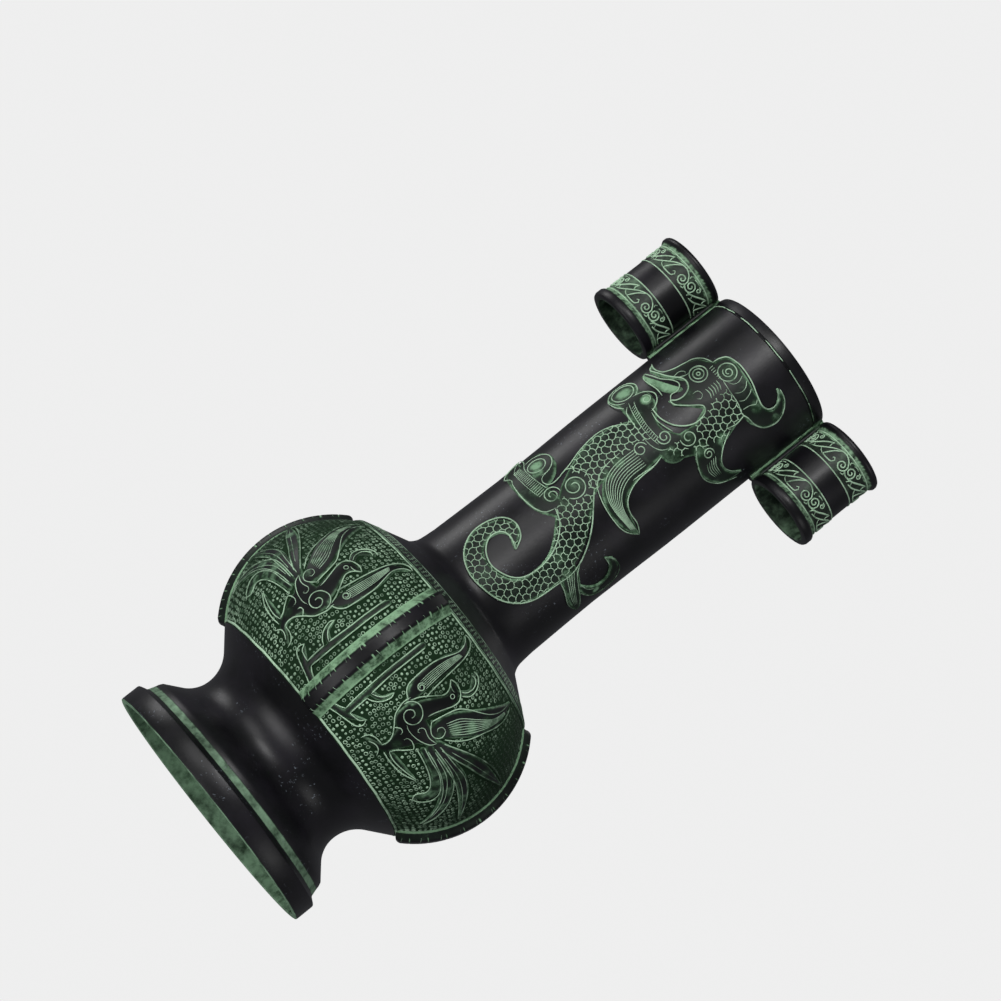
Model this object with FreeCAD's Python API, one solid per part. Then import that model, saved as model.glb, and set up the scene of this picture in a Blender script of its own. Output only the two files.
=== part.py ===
"""Arrow vase for the pitch-pot game, a tall cast vessel with two tube ears.

The vase stands on the plane z = 0 with its axis on Z.  The ears lie on the X
axis and one rib, with the animal on the neck above it, faces -Y.
All sizes are millimetres.  Heights are given as the length of each stretch,
stacked from the foot upwards, so a change of one stretch lifts what is above.
"""
import FreeCAD, Part
import math
import os

# Foot: an upright ring, a step inwards, a small riser and a flare.
foot_radius = 75.6
foot_ring_height = 11.8
foot_step_width = 4.4
foot_step_height = 2.2
foot_riser_height = 4.6
foot_riser_draft = 1.6
foot_shoulder_width = 1.4
foot_shoulder_height = 3.8
foot_flare_height = 20.6
flare_arc_radius = 18.0
flare_turn = 50.0

# Waist, belly and shoulder.
waist_radius = 54.0
waist_arc_radius = 21.5
waist_turn = 49.0
belly_rise_height = 26.3
band_foot_radius = 73.3
belly_lower_height = 45.2
belly_radius = 94.2
belly_upper_height = 45.2
band_head_radius = 73.3
shoulder_height = 15.6
shoulder_end_radius = 47.0
neck_root_height = 4.5

# Neck and lip.
neck_foot_radius = 44.3
neck_waist_radius = 42.3
neck_waist_height = 55.2
neck_upper_height = 158.1
neck_head_radius = 43.4
lip_height = 6.9
lip_radius = 44.4
lip_groove_depth = 0.6
lip_groove_width = 1.2

# Straight stretches that the belly's round section is laid out in.
belly_stretches = 9
inner_stretches = 5

# Walls.
wall = 4.0
bore_radius = 39.0
foot_wall = 4.0
floor_thickness = 4.0

# Belly ribs, four flanges with sloping sides.
rib_count = 4
rib_height = 4.2
rib_top_width = 7.4
rib_base_width = 17.6
rib_end_gap = 1.2
rib_root = 3.0

# Ears, a tube on each side of the mouth with beads at both ends.
ear_offset = 68.4
ear_radius = 21.3
ear_wall = 2.7
ear_length = 53.3
ear_drop = 0.2
bead_height_top = 4.2
bead_height_foot = 6.4
bead_proud = 2.0
bead_slope = 1.5
ear_web_width = 3.8

# Relief: how deep the ground lies round the birds, and how proud the animal
# on the neck stands.  Both are drawn on grids of their own, fitted below.
ground_depth = 0.9
animal_proud = 1.1
animal_foot_gap = 4.0
animal_height = 198.0
animal_width = 114.0

# Heights of the stations along the axis, stacked from the stretches above.
z_step = foot_ring_height + foot_step_height
z_riser = z_step + foot_riser_height
z_flare = z_riser + foot_shoulder_height
z_waist = z_flare + foot_flare_height
z_band_foot = z_waist + belly_rise_height
z_belly = z_band_foot + belly_lower_height
z_band_head = z_belly + belly_upper_height
z_shoulder = z_band_head + shoulder_height
z_neck_foot = z_shoulder + neck_root_height
z_neck_waist = z_neck_foot + neck_waist_height
z_lip = z_neck_waist + neck_upper_height
z_top = z_lip + lip_height
z_floor = z_waist + floor_thickness

ORIGIN = FreeCAD.Vector(0, 0, 0)
UP = FreeCAD.Vector(0, 0, 1)
ACROSS = FreeCAD.Vector(0, 1, 0)

# The birds' grid: degrees from the rib by ninetieths of the band's height.
# Each strip is (degrees, height, half width in mm), from its root to its tip.
BIRD_GRID = 90.0
BIRD_STRIPS = [
    # The bar beside the rib, and its hooked foot.
    [(9.2, 65, 1.6), (9.4, 40, 1.6), (10.8, 13, 1.8)],
    [(5.8, 9, 1.7), (12, 11.5, 1.8), (17.3, 17.5, 0.2)],
    # The plume before the neck.
    [(20.2, 41, 1.2), (18.4, 50, 4.8), (18.8, 66, 4.6), (20.6, 80, 2.8), (17.2, 87, 0.2)],
    # Neck, head and beak, then the crest's curl.
    [(25.0, 34, 6.5), (25.8, 44, 5.4), (29.2, 57, 3.4), (28.0, 64.5, 2.2), (24.0, 65.4, 0.2)],
    [(29.6, 64.5, 1.4), (32.6, 71, 1.5), (28.7, 77.5, 0.2)],
    # Breast and wing's root, then the leg down to its front toe.
    [(20.9, 39, 1.0), (27.5, 34.5, 7.5), (38.5, 38.5, 2.0)],
    [(29.4, 31, 7.0), (29.4, 20, 3.2), (26.5, 15.6, 2.0), (21.6, 10.2, 0.2)],
    # The raised wing.
    [(33.8, 41, 1.4), (36.6, 52, 6.8), (46.0, 70, 6.4), (54.0, 87, 0.2)],
    # Tail feathers, the lowest with a hooked end.
    [(37.0, 31.5, 1.6), (48, 30.0, 1.9), (56.0, 21.0, 2.0), (53.0, 12.0, 0.2)],
    [(37.5, 35.0, 2.0), (55, 32.5, 3.0), (72, 14.0, 0.2)],
    [(38.0, 38.0, 2.0), (58, 43.0, 3.4), (78, 31.0, 0.2)],
    [(38.5, 40.0, 2.0), (57, 56.0, 3.6), (78, 60.0, 0.2)],
]

# The animal's grid: millimetres round the neck, and up from its lowest point.
ANIMAL_GRID_WIDTH = 114.0
ANIMAL_GRID_HEIGHT = 198.0
ANIMAL_STRIPS = [
    # Scaled body, from below the jaw to the rolled tail's tip.
    [(-4, 123, 10), (-9, 112, 13), (-12, 98, 12), (-10, 86, 10), (-4, 74, 9.5), (5, 64, 9.5),
     (14, 54, 8.8), (20, 43, 7.8), (21.5, 29, 6.9), (18, 15.5, 6.8), (8.5, 8.2, 6.3),
     (-4, 6.2, 5.8), (-15, 10.5, 5.5), (-20, 20, 5), (-17.5, 30, 4.2), (-10, 34, 3.5),
     (-1.5, 28.5, 0.2)],
    # The long fin at the breast.
    [(2, 121, 7), (2.5, 108, 8), (5, 96, 8), (12, 88, 6.5), (22, 86, 4.8), (31, 87, 2.5),
     (36.5, 88.5, 0.2)],
    # Foreleg with its paw, and the knee's round knob.
    [(-5, 60, 5), (-14, 57.5, 7), (-28, 57.5, 7.2), (-40, 58, 6), (-48, 60, 4.6), (-56, 66, 0.2)],
    [(-22, 63, 4), (-28, 68, 8), (-35, 69.5, 9.8), (-42, 69, 7), (-46.5, 67, 0.2)],
    # Hind fin and hooked claw.
    [(24, 46, 4), (33, 43, 5.5), (43, 40.5, 4.5), (50, 39.5, 3), (55, 38.5, 0.2)],
    [(41, 45.5, 1.5), (48, 49, 3), (52.5, 55, 3.6), (51.5, 63, 3.2), (45, 68, 2.8),
     (39, 68, 1.8), (35.5, 66, 0.2)],
    # Crest rolled back over the head, and the mane's horn.
    [(-6, 181, 7.5), (5, 180.5, 7), (15, 179.5, 6.3), (24, 180, 6), (30.5, 185, 4.5),
     (30, 192, 3), (25, 196.5, 1.6), (19.5, 197.8, 0.2)],
    [(17, 150, 8), (23, 146.5, 8.5), (31, 142.5, 6.8), (39, 144.5, 5), (45, 149.5, 3),
     (48.5, 157.5, 0.2)],
    # Lower jaw with the curl and the ball at its end.
    [(9, 131, 8.5), (0, 127.5, 6), (-10, 128, 6.2), (-18, 131.5, 8.2), (-24, 133, 9),
     (-30, 131.5, 7), (-37, 132.5, 8.5), (-42.5, 133, 5.5), (-46, 133, 0.2)],
]
# Upper head and the scaled neck behind the open mouth, as one closed outline.
ANIMAL_HEAD = [
    (-43, 156.5), (-36, 155.2), (-30.5, 157), (-27, 162), (-25.5, 168), (-22, 175), (-15, 179),
    (-6, 186), (6, 187), (15, 184), (20, 175), (21, 168), (24.5, 158), (21.5, 142), (17, 132),
    (9, 124), (1, 122), (1, 131), (5.5, 139), (6.5, 149), (3, 158), (-3, 152.5), (-9, 146.5),
    (-13, 146), (-9.5, 152), (-11, 158.5), (-16, 161), (-23, 156.5), (-30, 153), (-38, 152),
]


def point(radius, height):
    """A point of the section, in the XZ plane."""
    return FreeCAD.Vector(radius, 0, height)


def line(first, second):
    """A straight edge between two points."""
    return Part.LineSegment(first, second).toShape()


def path(points):
    """Straight edges through a list of points."""
    return [line(a, b) for a, b in zip(points, points[1:])]


def turned(edges, share=360.0):
    """The solid that a closed section sweeps round the vase's axis."""
    face = Part.Face(Part.Wire(edges))
    return face.revolve(ORIGIN, UP, share)


# The belly's section passes through the band's foot, its widest place and its head.
BELLY = [
    point(band_foot_radius, z_band_foot),
    point(belly_radius, z_belly),
    point(band_head_radius, z_band_head),
]


def bend(centre, radius, first, last):
    """Start, middle and end of an arc round a centre, between two angles in degrees."""
    corners = []
    for angle in (first, (first + last) / 2, last):
        turn = math.radians(angle)
        corners.append(centre + point(radius * math.cos(turn), radius * math.sin(turn)))
    return corners


def belly_circle():
    """The circle that the belly's section is a part of."""
    return Part.Circle(*BELLY)


def belly_run(inset, count):
    """The belly's section at a distance inside the surface, as short straight stretches."""
    circle = belly_circle()
    reach = circle.Radius - inset
    low, high = [math.atan2(end.z - circle.Center.z, end.x - circle.Center.x)
                 for end in (BELLY[0], BELLY[2])]
    run = []
    for index in range(count + 1):
        turn = low + (high - low) * index / count
        run.append(circle.Center + point(reach * math.cos(turn), reach * math.sin(turn)))
    return run


def flare_bend(inset):
    """Three points of the hollow curve from the foot's flare up to the waist."""
    centre = point(waist_radius + flare_arc_radius, z_waist)
    return bend(centre, flare_arc_radius + inset, 180 + flare_turn, 180)


def waist_bend(inset):
    """Three points of the hollow curve from the waist up towards the belly."""
    centre = point(waist_radius + waist_arc_radius, z_waist)
    return bend(centre, waist_arc_radius + inset, 180, 180 - waist_turn)


def outer_body():
    """The vase's outside as one filled solid, up to the lip's top."""
    riser_foot = point(foot_radius - foot_step_width, z_step)
    riser_head = point(riser_foot.x - foot_riser_draft, z_riser)
    flare_head = point(riser_head.x - foot_shoulder_width, z_flare)
    flare = flare_bend(0)
    waist = waist_bend(0)
    belly = belly_run(0, belly_stretches)
    shoulder_end = point(shoulder_end_radius, z_shoulder)
    neck_foot = point(neck_foot_radius, z_neck_foot)
    edges = path(
        [
            ORIGIN,
            point(foot_radius, 0),
            point(foot_radius, foot_ring_height),
            riser_foot,
            riser_head,
            flare_head,
            flare[0],
        ]
    )
    edges.append(Part.Arc(*flare).toShape())
    edges.append(Part.Arc(*waist).toShape())
    edges.extend(
        path(
            [
                waist[-1],
                *belly,
                shoulder_end,
                neck_foot,
                point(neck_waist_radius, z_neck_waist),
                point(neck_head_radius, z_lip),
                point(lip_radius, z_top),
                point(0, z_top),
                ORIGIN,
            ]
        )
    )
    return turned(edges)


def cavity():
    """The inside of belly, neck and mouth, a wall's thickness inside."""
    waist = waist_bend(wall)
    belly = belly_run(wall, inner_stretches)
    thin = wall * math.hypot(shoulder_height, band_head_radius - shoulder_end_radius)
    drop = thin / (band_head_radius - shoulder_end_radius)
    shoulder_end = point(shoulder_end_radius, z_shoulder - drop)
    inside = turned(
        path(
            [
                point(0, z_waist),
                *waist,
                *belly,
                shoulder_end,
                point(bore_radius, z_neck_foot - wall),
                point(bore_radius, z_top),
                point(0, z_top),
                point(0, z_waist),
            ]
        )
    )
    return inside.cut(Part.makeCylinder(belly_radius, z_floor))


def foot_hollow():
    """The open space under the vase, up to the floor of the belly."""
    flare = flare_bend(foot_wall)
    inside = foot_radius - foot_wall
    ring_head = point(inside, foot_ring_height)
    return turned(path([ORIGIN, point(inside, 0), ring_head, *flare, point(0, z_waist), ORIGIN]))


def belly_at(height):
    """The belly's radius, and its slope, at a height inside the band."""
    circle = belly_circle()
    rise = height - circle.Center.z
    reach = math.sqrt(circle.Radius**2 - rise**2)
    return circle.Center.x + reach, -rise / reach


def neck_at(height):
    """The neck's radius at a height."""
    if height < z_neck_waist:
        share = (z_neck_waist - height) / neck_waist_height
        return neck_waist_radius + share * (neck_foot_radius - neck_waist_radius)
    share = (height - z_neck_waist) / neck_upper_height
    return neck_waist_radius + share * (neck_head_radius - neck_waist_radius)


def bird_spot(across, up):
    """Where a place of the birds' grid lies on the belly, and the grid's scale there."""
    tall = (z_band_head - z_band_foot) / BIRD_GRID
    height = z_band_foot + up * tall
    radius, slope = belly_at(height)
    turn = math.radians(across) - math.pi / 2
    spot = FreeCAD.Vector(radius * math.cos(turn), radius * math.sin(turn), height)
    return spot, radius * math.pi / 180, tall * math.hypot(1, slope)


def animal_spot(across, up):
    """Where a place of the animal's grid lies on the neck, and the grid's scale there."""
    height = z_neck_foot + animal_foot_gap + up * animal_height / ANIMAL_GRID_HEIGHT
    radius = neck_at(height)
    wide = animal_width / ANIMAL_GRID_WIDTH
    turn = across * wide / neck_waist_radius - math.pi / 2
    spot = FreeCAD.Vector(radius * math.cos(turn), radius * math.sin(turn), height)
    return spot, wide, animal_height / ANIMAL_GRID_HEIGHT


def strip_sides(strip, spot):
    """The left and right side of a strip, as grid places, tips kept as one."""
    left, right = [], []
    for index, (across, up, half) in enumerate(strip):
        before = strip[max(index - 1, 0)]
        after = strip[min(index + 1, len(strip) - 1)]
        wide, tall = spot(across, up)[1:]
        run = (after[0] - before[0]) * wide
        rise = (after[1] - before[1]) * tall
        size = math.hypot(run, rise)
        off = (-rise / size * half / wide, run / size * half / tall)
        left.append((across + off[0], up + off[1]))
        right.append((across - off[0], up - off[1]))
    left[-1] = right[-1] = strip[-1][:2]
    return left, right


def raised(outlines, spot):
    """A prism through the wall for closed runs of grid places, each run one smooth side."""
    runs = [[spot(*place)[0] for place in run] for run in outlines]
    every = [corner for run in runs for corner in run]
    middle = sum(every, ORIGIN)
    out = FreeCAD.Vector(middle.x, middle.y, 0).normalize()
    far = max(corner.dot(out) for corner in every) + 3
    near = min(corner.dot(out) for corner in every) - 3
    edges = []
    for run in runs:
        flat = [corner + out * (far - corner.dot(out)) for corner in run]
        if len(flat) == 2:
            edges.append(line(*flat))
            continue
        curve = Part.BSplineCurve()
        curve.interpolate(flat, PeriodicFlag=len(runs) == 1)
        edges.append(curve.toShape())
    face = Part.Face(Part.Wire(edges))
    return face.extrude(out * (near - far))


def strip_prism(strip, spot):
    """The prism of one strip: up its left side, down its right and across its root."""
    left, right = strip_sides(strip, spot)
    return raised([left, right[::-1], [right[0], left[0]]], spot)


def band_ground():
    """The sunk ground of one panel, from a rib to the next, with its bird left standing."""
    belly = belly_run(0, belly_stretches)
    deep = belly_run(ground_depth, belly_stretches)
    ring = turned(path([*belly, *deep[::-1], belly[0]]), 360.0 / rib_count)
    ring.rotate(ORIGIN, UP, -90)
    return ring.cut([strip_prism(strip, bird_spot) for strip in BIRD_STRIPS])


def animal_relief():
    """The animal on the neck, from a little inside the surface to its proud face."""
    section = path(
        [
            point(neck_foot_radius - animal_proud, z_neck_foot),
            point(neck_foot_radius + animal_proud, z_neck_foot),
            point(neck_waist_radius + animal_proud, z_neck_waist),
            point(neck_head_radius + animal_proud, z_lip),
            point(neck_head_radius - animal_proud, z_lip),
            point(neck_waist_radius - animal_proud, z_neck_waist),
            point(neck_foot_radius - animal_proud, z_neck_foot),
        ]
    )
    sleeve = turned(section)
    prisms = [strip_prism(strip, animal_spot) for strip in ANIMAL_STRIPS]
    prisms.append(raised([ANIMAL_HEAD], animal_spot))
    return sleeve.common(prisms)


def rib():
    """One flange on the belly, on the +X side, with sloping flanks."""
    circle = belly_circle()
    centre = circle.Center
    base = circle.Radius
    gap = math.degrees(rib_end_gap / base)
    low, high = [math.degrees(math.atan2(end.z - centre.z, end.x - centre.x))
                 for end in (BELLY[0], BELLY[2])]
    section = Part.makePolygon(
        [
            centre + point(base - rib_root, 0) - ACROSS * (rib_base_width / 2),
            centre + point(base, 0) - ACROSS * (rib_base_width / 2),
            centre + point(base + rib_height, 0) - ACROSS * (rib_top_width / 2),
            centre + point(base + rib_height, 0) + ACROSS * (rib_top_width / 2),
            centre + point(base, 0) + ACROSS * (rib_base_width / 2),
            centre + point(base - rib_root, 0) + ACROSS * (rib_base_width / 2),
            centre + point(base - rib_root, 0) - ACROSS * (rib_base_width / 2),
        ]
    )
    face = Part.Face(section)
    face.rotate(centre, ACROSS, -(low + gap))
    return face.revolve(centre, ACROSS, -(high - low - 2 * gap))


def ear_tube():
    """One ear's tube about its own axis, with a sloped bead at both ends."""
    z_high = z_top - ear_drop
    z_low = z_high - ear_length
    inside = ear_radius - ear_wall
    proud = ear_radius + bead_proud
    return turned(
        path(
            [
                point(inside, z_low),
                point(proud - bead_slope, z_low),
                point(proud, z_low + bead_slope),
                point(proud, z_low + bead_height_foot - bead_slope),
                point(ear_radius, z_low + bead_height_foot),
                point(ear_radius, z_high - bead_height_top),
                point(proud, z_high - bead_height_top + bead_slope),
                point(proud, z_high - bead_slope),
                point(proud - bead_slope, z_high),
                point(inside, z_high),
                point(inside, z_low),
            ]
        )
    )


def groove(radius, height, depth, width):
    """A ring with a pointed section, to cut a fine line round a tube."""
    tip = point(radius - depth, height)
    low = point(radius + depth, height - width)
    high = point(radius + depth, height + width)
    return turned(path([tip, low, high, tip]))


def ear(side):
    """One ear with its web, on the side of +X or -X."""
    tube = ear_tube()
    tube.translate(FreeCAD.Vector(ear_offset, 0, 0))
    length = ear_offset - ear_radius + ear_wall / 2
    web = Part.makeBox(length, ear_web_width, ear_length)
    web.translate(FreeCAD.Vector(0, -ear_web_width / 2, z_top - ear_drop - ear_length))
    whole = web.fuse(tube)
    if side < 0:
        whole.rotate(ORIGIN, UP, 180)
    return whole


def vase():
    """The whole vase as one solid."""
    body = outer_body()
    ground = band_ground()
    mirrored = ground.mirror(ORIGIN, FreeCAD.Vector(1, 0, 0))
    panels = [ground, mirrored]
    for panel in (ground, mirrored):
        panels.append(panel.mirror(ORIGIN, ACROSS))
    body = body.cut(panels)
    flange = rib()
    for index in range(rib_count):
        copy = flange.copy()
        copy.rotate(ORIGIN, UP, 360.0 * index / rib_count)
        body = body.fuse(copy)
    body = body.fuse([ear(1), ear(-1)])
    body = body.cut(groove(neck_head_radius, z_lip, lip_groove_depth, lip_groove_width))
    body = body.fuse(animal_relief())
    return body.cut([cavity(), foot_hollow()])


os.makedirs("parts", exist_ok=True)
shape = vase()
print("solids", len(shape.Solids), "valid", shape.isValid(), shape.BoundBox)
print("volume", shape.Volume)
shape.exportStep("parts/arrow_vase.step")
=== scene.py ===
"""Looks of the arrow vase: black cast metal, green patina in every hollow.

The vase stands on z = 0 with its axis on Z, the animal faces -Y and the two
ears lie on X.  The tables of the ornament are in millimetres, or in degrees
from the front rib, and the meshes are in metres.
"""

import logging
import math
import random
from collections.abc import Callable
from dataclasses import dataclass, field
from enum import Enum
from functools import partial

import bpy
import numpy as np
from mathutils import Matrix, Vector

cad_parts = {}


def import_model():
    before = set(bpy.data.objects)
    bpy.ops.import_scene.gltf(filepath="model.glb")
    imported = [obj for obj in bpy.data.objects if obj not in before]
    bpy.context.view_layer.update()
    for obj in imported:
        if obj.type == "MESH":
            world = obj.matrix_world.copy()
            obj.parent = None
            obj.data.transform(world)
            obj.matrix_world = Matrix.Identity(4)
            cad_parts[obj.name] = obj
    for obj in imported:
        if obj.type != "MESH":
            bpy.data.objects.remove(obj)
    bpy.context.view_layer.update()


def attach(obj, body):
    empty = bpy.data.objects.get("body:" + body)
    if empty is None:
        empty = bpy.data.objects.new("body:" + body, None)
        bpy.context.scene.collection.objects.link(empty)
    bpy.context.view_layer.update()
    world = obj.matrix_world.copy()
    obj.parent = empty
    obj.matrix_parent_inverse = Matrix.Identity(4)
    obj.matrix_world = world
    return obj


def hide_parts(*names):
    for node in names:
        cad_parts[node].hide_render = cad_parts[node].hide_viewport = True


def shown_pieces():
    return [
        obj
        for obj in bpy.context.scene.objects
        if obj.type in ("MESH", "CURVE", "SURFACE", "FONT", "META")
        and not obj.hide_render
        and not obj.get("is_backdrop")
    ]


LOG = logging.getLogger("arrow_vase")
MM = 0.001
BODY = "root"
NODE = "arrow_vase"

# Where the belly's band meets the foot and the shoulder.
BAND_RADIUS = 73.3
BAND_FOOT = 69.3
BAND_HEAD = 159.7
TOP = 400.0

Colour = tuple[float, float, float]
Points = list[tuple[float, ...]]
Piece = bpy.types.Object
Socket = bpy.types.NodeSocket
Rows = np.ndarray
Key = tuple[int, int]
Placed = tuple[Rows, Rows, Rows]


def fade(values: Rows, start: float, run: float) -> Rows:
    """Grows from nought at the start to one after the run."""
    return np.clip((values - start) / run, 0, 1)


def between(values: Rows, low: float, high: float) -> Rows:
    """Which values lie between two limits."""
    return (values > low) & (values < high)


# --------------------------------------------------------------------------
class Desk:
    """A small helper that lays out nodes and links them."""

    def __init__(self, tree: bpy.types.NodeTree, main: str = "Principled BSDF") -> None:
        """Keeps the tree and its main shader."""
        self.tree = tree
        self.main = tree.nodes[main]

    def add(self, kind: str, **settings: object) -> bpy.types.Node:
        """Adds a node.

        Args:
            kind: the node's type.
            settings: the node's own properties.

        Returns:
            The new node.
        """
        node = self.tree.nodes.new(kind)
        for key, value in settings.items():
            setattr(node, key, value)
        return node

    def put(self, socket: Socket, value: object) -> None:
        """Links a socket to another one, or sets its value.

        Args:
            socket: the socket that takes the value.
            value: another socket, a colour or a number.
        """
        if isinstance(value, Socket):
            self.tree.links.new(value, socket)
        elif isinstance(value, tuple):
            socket.default_value = (*value, 1.0)
        else:
            socket.default_value = value

    def fill(self, node: bpy.types.Node, **values: object) -> bpy.types.Node:
        """Puts values into a node's sockets.

        Args:
            node: the node.
            values: the values by socket, with _ for a space in its name.

        Returns:
            The same node.
        """
        for name, value in values.items():
            self.put(node.inputs[name.replace("_", " ")], value)
        return node

    def math(self, how: str, *values: object) -> Socket:
        """One sum of sockets or numbers.

        Args:
            how: the operation's name.
            values: one to three sockets or numbers.

        Returns:
            The result's socket.
        """
        node = self.add("ShaderNodeMath", operation=how)
        for socket, value in zip(node.inputs, values):
            self.put(socket, value)
        return node.outputs[0]

    def noise(self, place: object, scale: float, detail: float, rough: float) -> Socket:
        """A noise of a given scale in metres.

        Args:
            place: the coordinates' socket.
            scale: waves to the metre.
            detail: how many finer layers it has.
            rough: how strong these layers are.

        Returns:
            The noise's value.
        """
        node = self.add("ShaderNodeTexNoise")
        self.fill(node, Vector=place, Scale=scale, Detail=detail, Roughness=rough)
        return node.outputs["Fac"]

    def ramp(self, value: object, low: float, high: float) -> Socket:
        """A smooth step.

        Args:
            value: the socket that is stepped.
            low: where the step starts.
            high: where it ends.

        Returns:
            The step's value, from nought to one.
        """
        node = self.add("ShaderNodeMapRange", interpolation_type="SMOOTHSTEP")
        self.fill(node, Value=value, From_Min=low, From_Max=high)
        return node.outputs["Result"]

    def mix(self, share: object, first: object, second: object) -> Socket:
        """Two colours mixed by a share.

        Args:
            share: the second colour's part.
            first: a colour or socket.
            second: a colour or socket.

        Returns:
            The mixed colour's socket.
        """
        node = self.add("ShaderNodeMix", data_type="RGBA")
        self.put(node.inputs[0], share)
        self.put(node.inputs[6], first)
        self.put(node.inputs[7], second)
        return node.outputs[2]

    def bump(self, height: object, strength: float) -> None:
        """Gives the shader a bumped surface."""
        node = self.fill(self.add("ShaderNodeBump"), Strength=strength, Distance=0.0004, Height=height)
        self.fill(self.main, Normal=node.outputs["Normal"])

    def show(self, share: object, first: bpy.types.Node, second: bpy.types.Node, output: str) -> None:
        """Mixes two shaders and shows them.

        Args:
            share: the second shader's part.
            first: a shader.
            second: another shader.
            output: the name of the tree's output node.
        """
        node = self.add("ShaderNodeMixShader")
        for socket, value in zip(node.inputs, (share, first.outputs[0], second.outputs[0])):
            self.put(socket, value)
        self.fill(self.tree.nodes[output], Surface=node.outputs[0])


# --------------------------------------------------------------------------
# Noises of the finishes: waves to the metre, finer layers and their strength.
CLOUD = (34.0, 4.0, 0.6)
FINE = (420.0, 3.0, 0.55)
GRAIN = (1900.0, 2.0, 0.5)
SPOTS = (620.0, 2.0, 0.7)
PATCHES = (48.0, 3.0, 0.6)
BLOTCH_LAYERS = (5.0, 0.65)
SCUFFED: Colour = (0.2, 0.23, 0.27)


class Wear(Enum):
    """How a surface of the vase has aged."""

    POLISHED = "polished black"
    CARVED = "black with green in its hollows"
    THREAD = "pale green carved line"
    GROUND = "green punched ground"


@dataclass(frozen=True)
class Finish:
    """One finish of the cast metal: two blacks and two greens, mixed by wear, which on some lines also holds
    painted shade.
    """

    name: str
    wear: Wear
    black: Colour = (0.0045, 0.0045, 0.0055)
    sheen: Colour = (0.012, 0.0105, 0.015)
    deep: Colour = (0.014, 0.05, 0.018)
    pale: Colour = (0.33, 0.55, 0.35)
    green: float = 0.0
    follow: float = 1.0
    rough: float = 0.35
    gloss: float = 0.42
    blotch: float = 260.0
    specks: float = 0.0
    bump: float = 0.12

    def material(self) -> bpy.types.Material:
        """The finish's material, made when it is first asked for.

        Returns:
            The material, which reads object coordinates and the mesh's own
            "patina" attribute.
        """
        made = bpy.data.materials.get(self.name)
        if made:
            return made
        LOG.info("%s: %s", self.name, self.wear.value)
        made = bpy.data.materials.new(self.name)
        made.use_nodes = True
        desk = Desk(made.node_tree)
        place = desk.add("ShaderNodeTexCoord").outputs["Object"]
        cloud, fine, grain = (desk.noise(place, *kind) for kind in (CLOUD, FINE, GRAIN))
        worn = desk.add("ShaderNodeAttribute", attribute_name="patina").outputs["Fac"]
        # Green lies where the mesh says so, broken up by the clouds.
        rest = desk.math("MULTIPLY_ADD", worn, self.follow, self.green)
        broken = desk.math("MULTIPLY_ADD", cloud, 0.9, -0.45)
        broken = desk.math("MULTIPLY", broken, desk.math("MULTIPLY", rest, desk.math("SUBTRACT", 1.25, rest)))
        share = desk.ramp(desk.math("MULTIPLY_ADD", broken, 2.0, rest), 0.02, 0.98)
        black = desk.mix(desk.ramp(cloud, 0.38, 0.72), self.black, self.sheen)
        # Thin patina is dark, thick patina is pale.
        blotch = desk.noise(place, self.blotch, *BLOTCH_LAYERS)
        tone = desk.math("ADD", desk.math("MULTIPLY", blotch, 0.6), desk.math("MULTIPLY", cloud, 0.4))
        tone = desk.math("MULTIPLY_ADD", rest, 0.42, desk.math("SUBTRACT", tone, 0.27))
        green = desk.mix(desk.ramp(tone, 0.36, 0.62), self.deep, self.pale)
        colour = desk.mix(share, black, green)
        if self.specks:
            spots = desk.noise(place, *SPOTS)
            patch = desk.ramp(desk.noise(place, *PATCHES), 0.52, 0.66)
            worn_spots = desk.math("MULTIPLY", desk.ramp(spots, 0.62, 0.72), patch)
            worn_spots = desk.math("MULTIPLY", worn_spots, self.specks)
            colour = desk.mix(worn_spots, colour, SCUFFED)
        # Green is rougher than black, and both are a little uneven.
        rough = desk.math("MULTIPLY_ADD", cloud, 0.16, self.rough - 0.08)
        rough = desk.math("MULTIPLY_ADD", share, 0.3, rough)
        rough = desk.math("MULTIPLY_ADD", fine, 0.08, rough)
        desk.fill(desk.main, Specular_IOR_Level=self.gloss, Base_Color=colour, Roughness=rough)
        height = desk.math("ADD", desk.math("MULTIPLY", fine, 0.7), desk.math("MULTIPLY", grain, 0.3))
        desk.bump(height, self.bump)
        return made


SATIN_BLACK = Finish("satin_black", Wear.POLISHED, rough=0.33, blotch=120.0, specks=0.9)
CARVED_BLACK = Finish("carved_black", Wear.CARVED, deep=(0.016, 0.07, 0.02), pale=(0.31, 0.55, 0.33), gloss=0.3)
RIB_BLACK = Finish("rib_black", Wear.CARVED, deep=(0.03, 0.1, 0.035), pale=(0.33, 0.57, 0.34),
                   gloss=0.32, blotch=640.0)
EAR_BLACK = Finish("ear_black", Wear.CARVED, deep=(0.01, 0.035, 0.013), pale=(0.3, 0.5, 0.31), blotch=150.0)
GREEN_GROUND = Finish("green_ground", Wear.GROUND, deep=(0.002, 0.01, 0.003), pale=(0.009, 0.033, 0.011),
                      rough=0.5, gloss=0.22)
PALE_THREAD = Finish("pale_thread", Wear.THREAD, deep=(0.07, 0.16, 0.08), pale=(0.6, 0.86, 0.61),
                     green=0.25, follow=0.62, rough=0.5, gloss=0.28, blotch=190.0)


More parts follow.
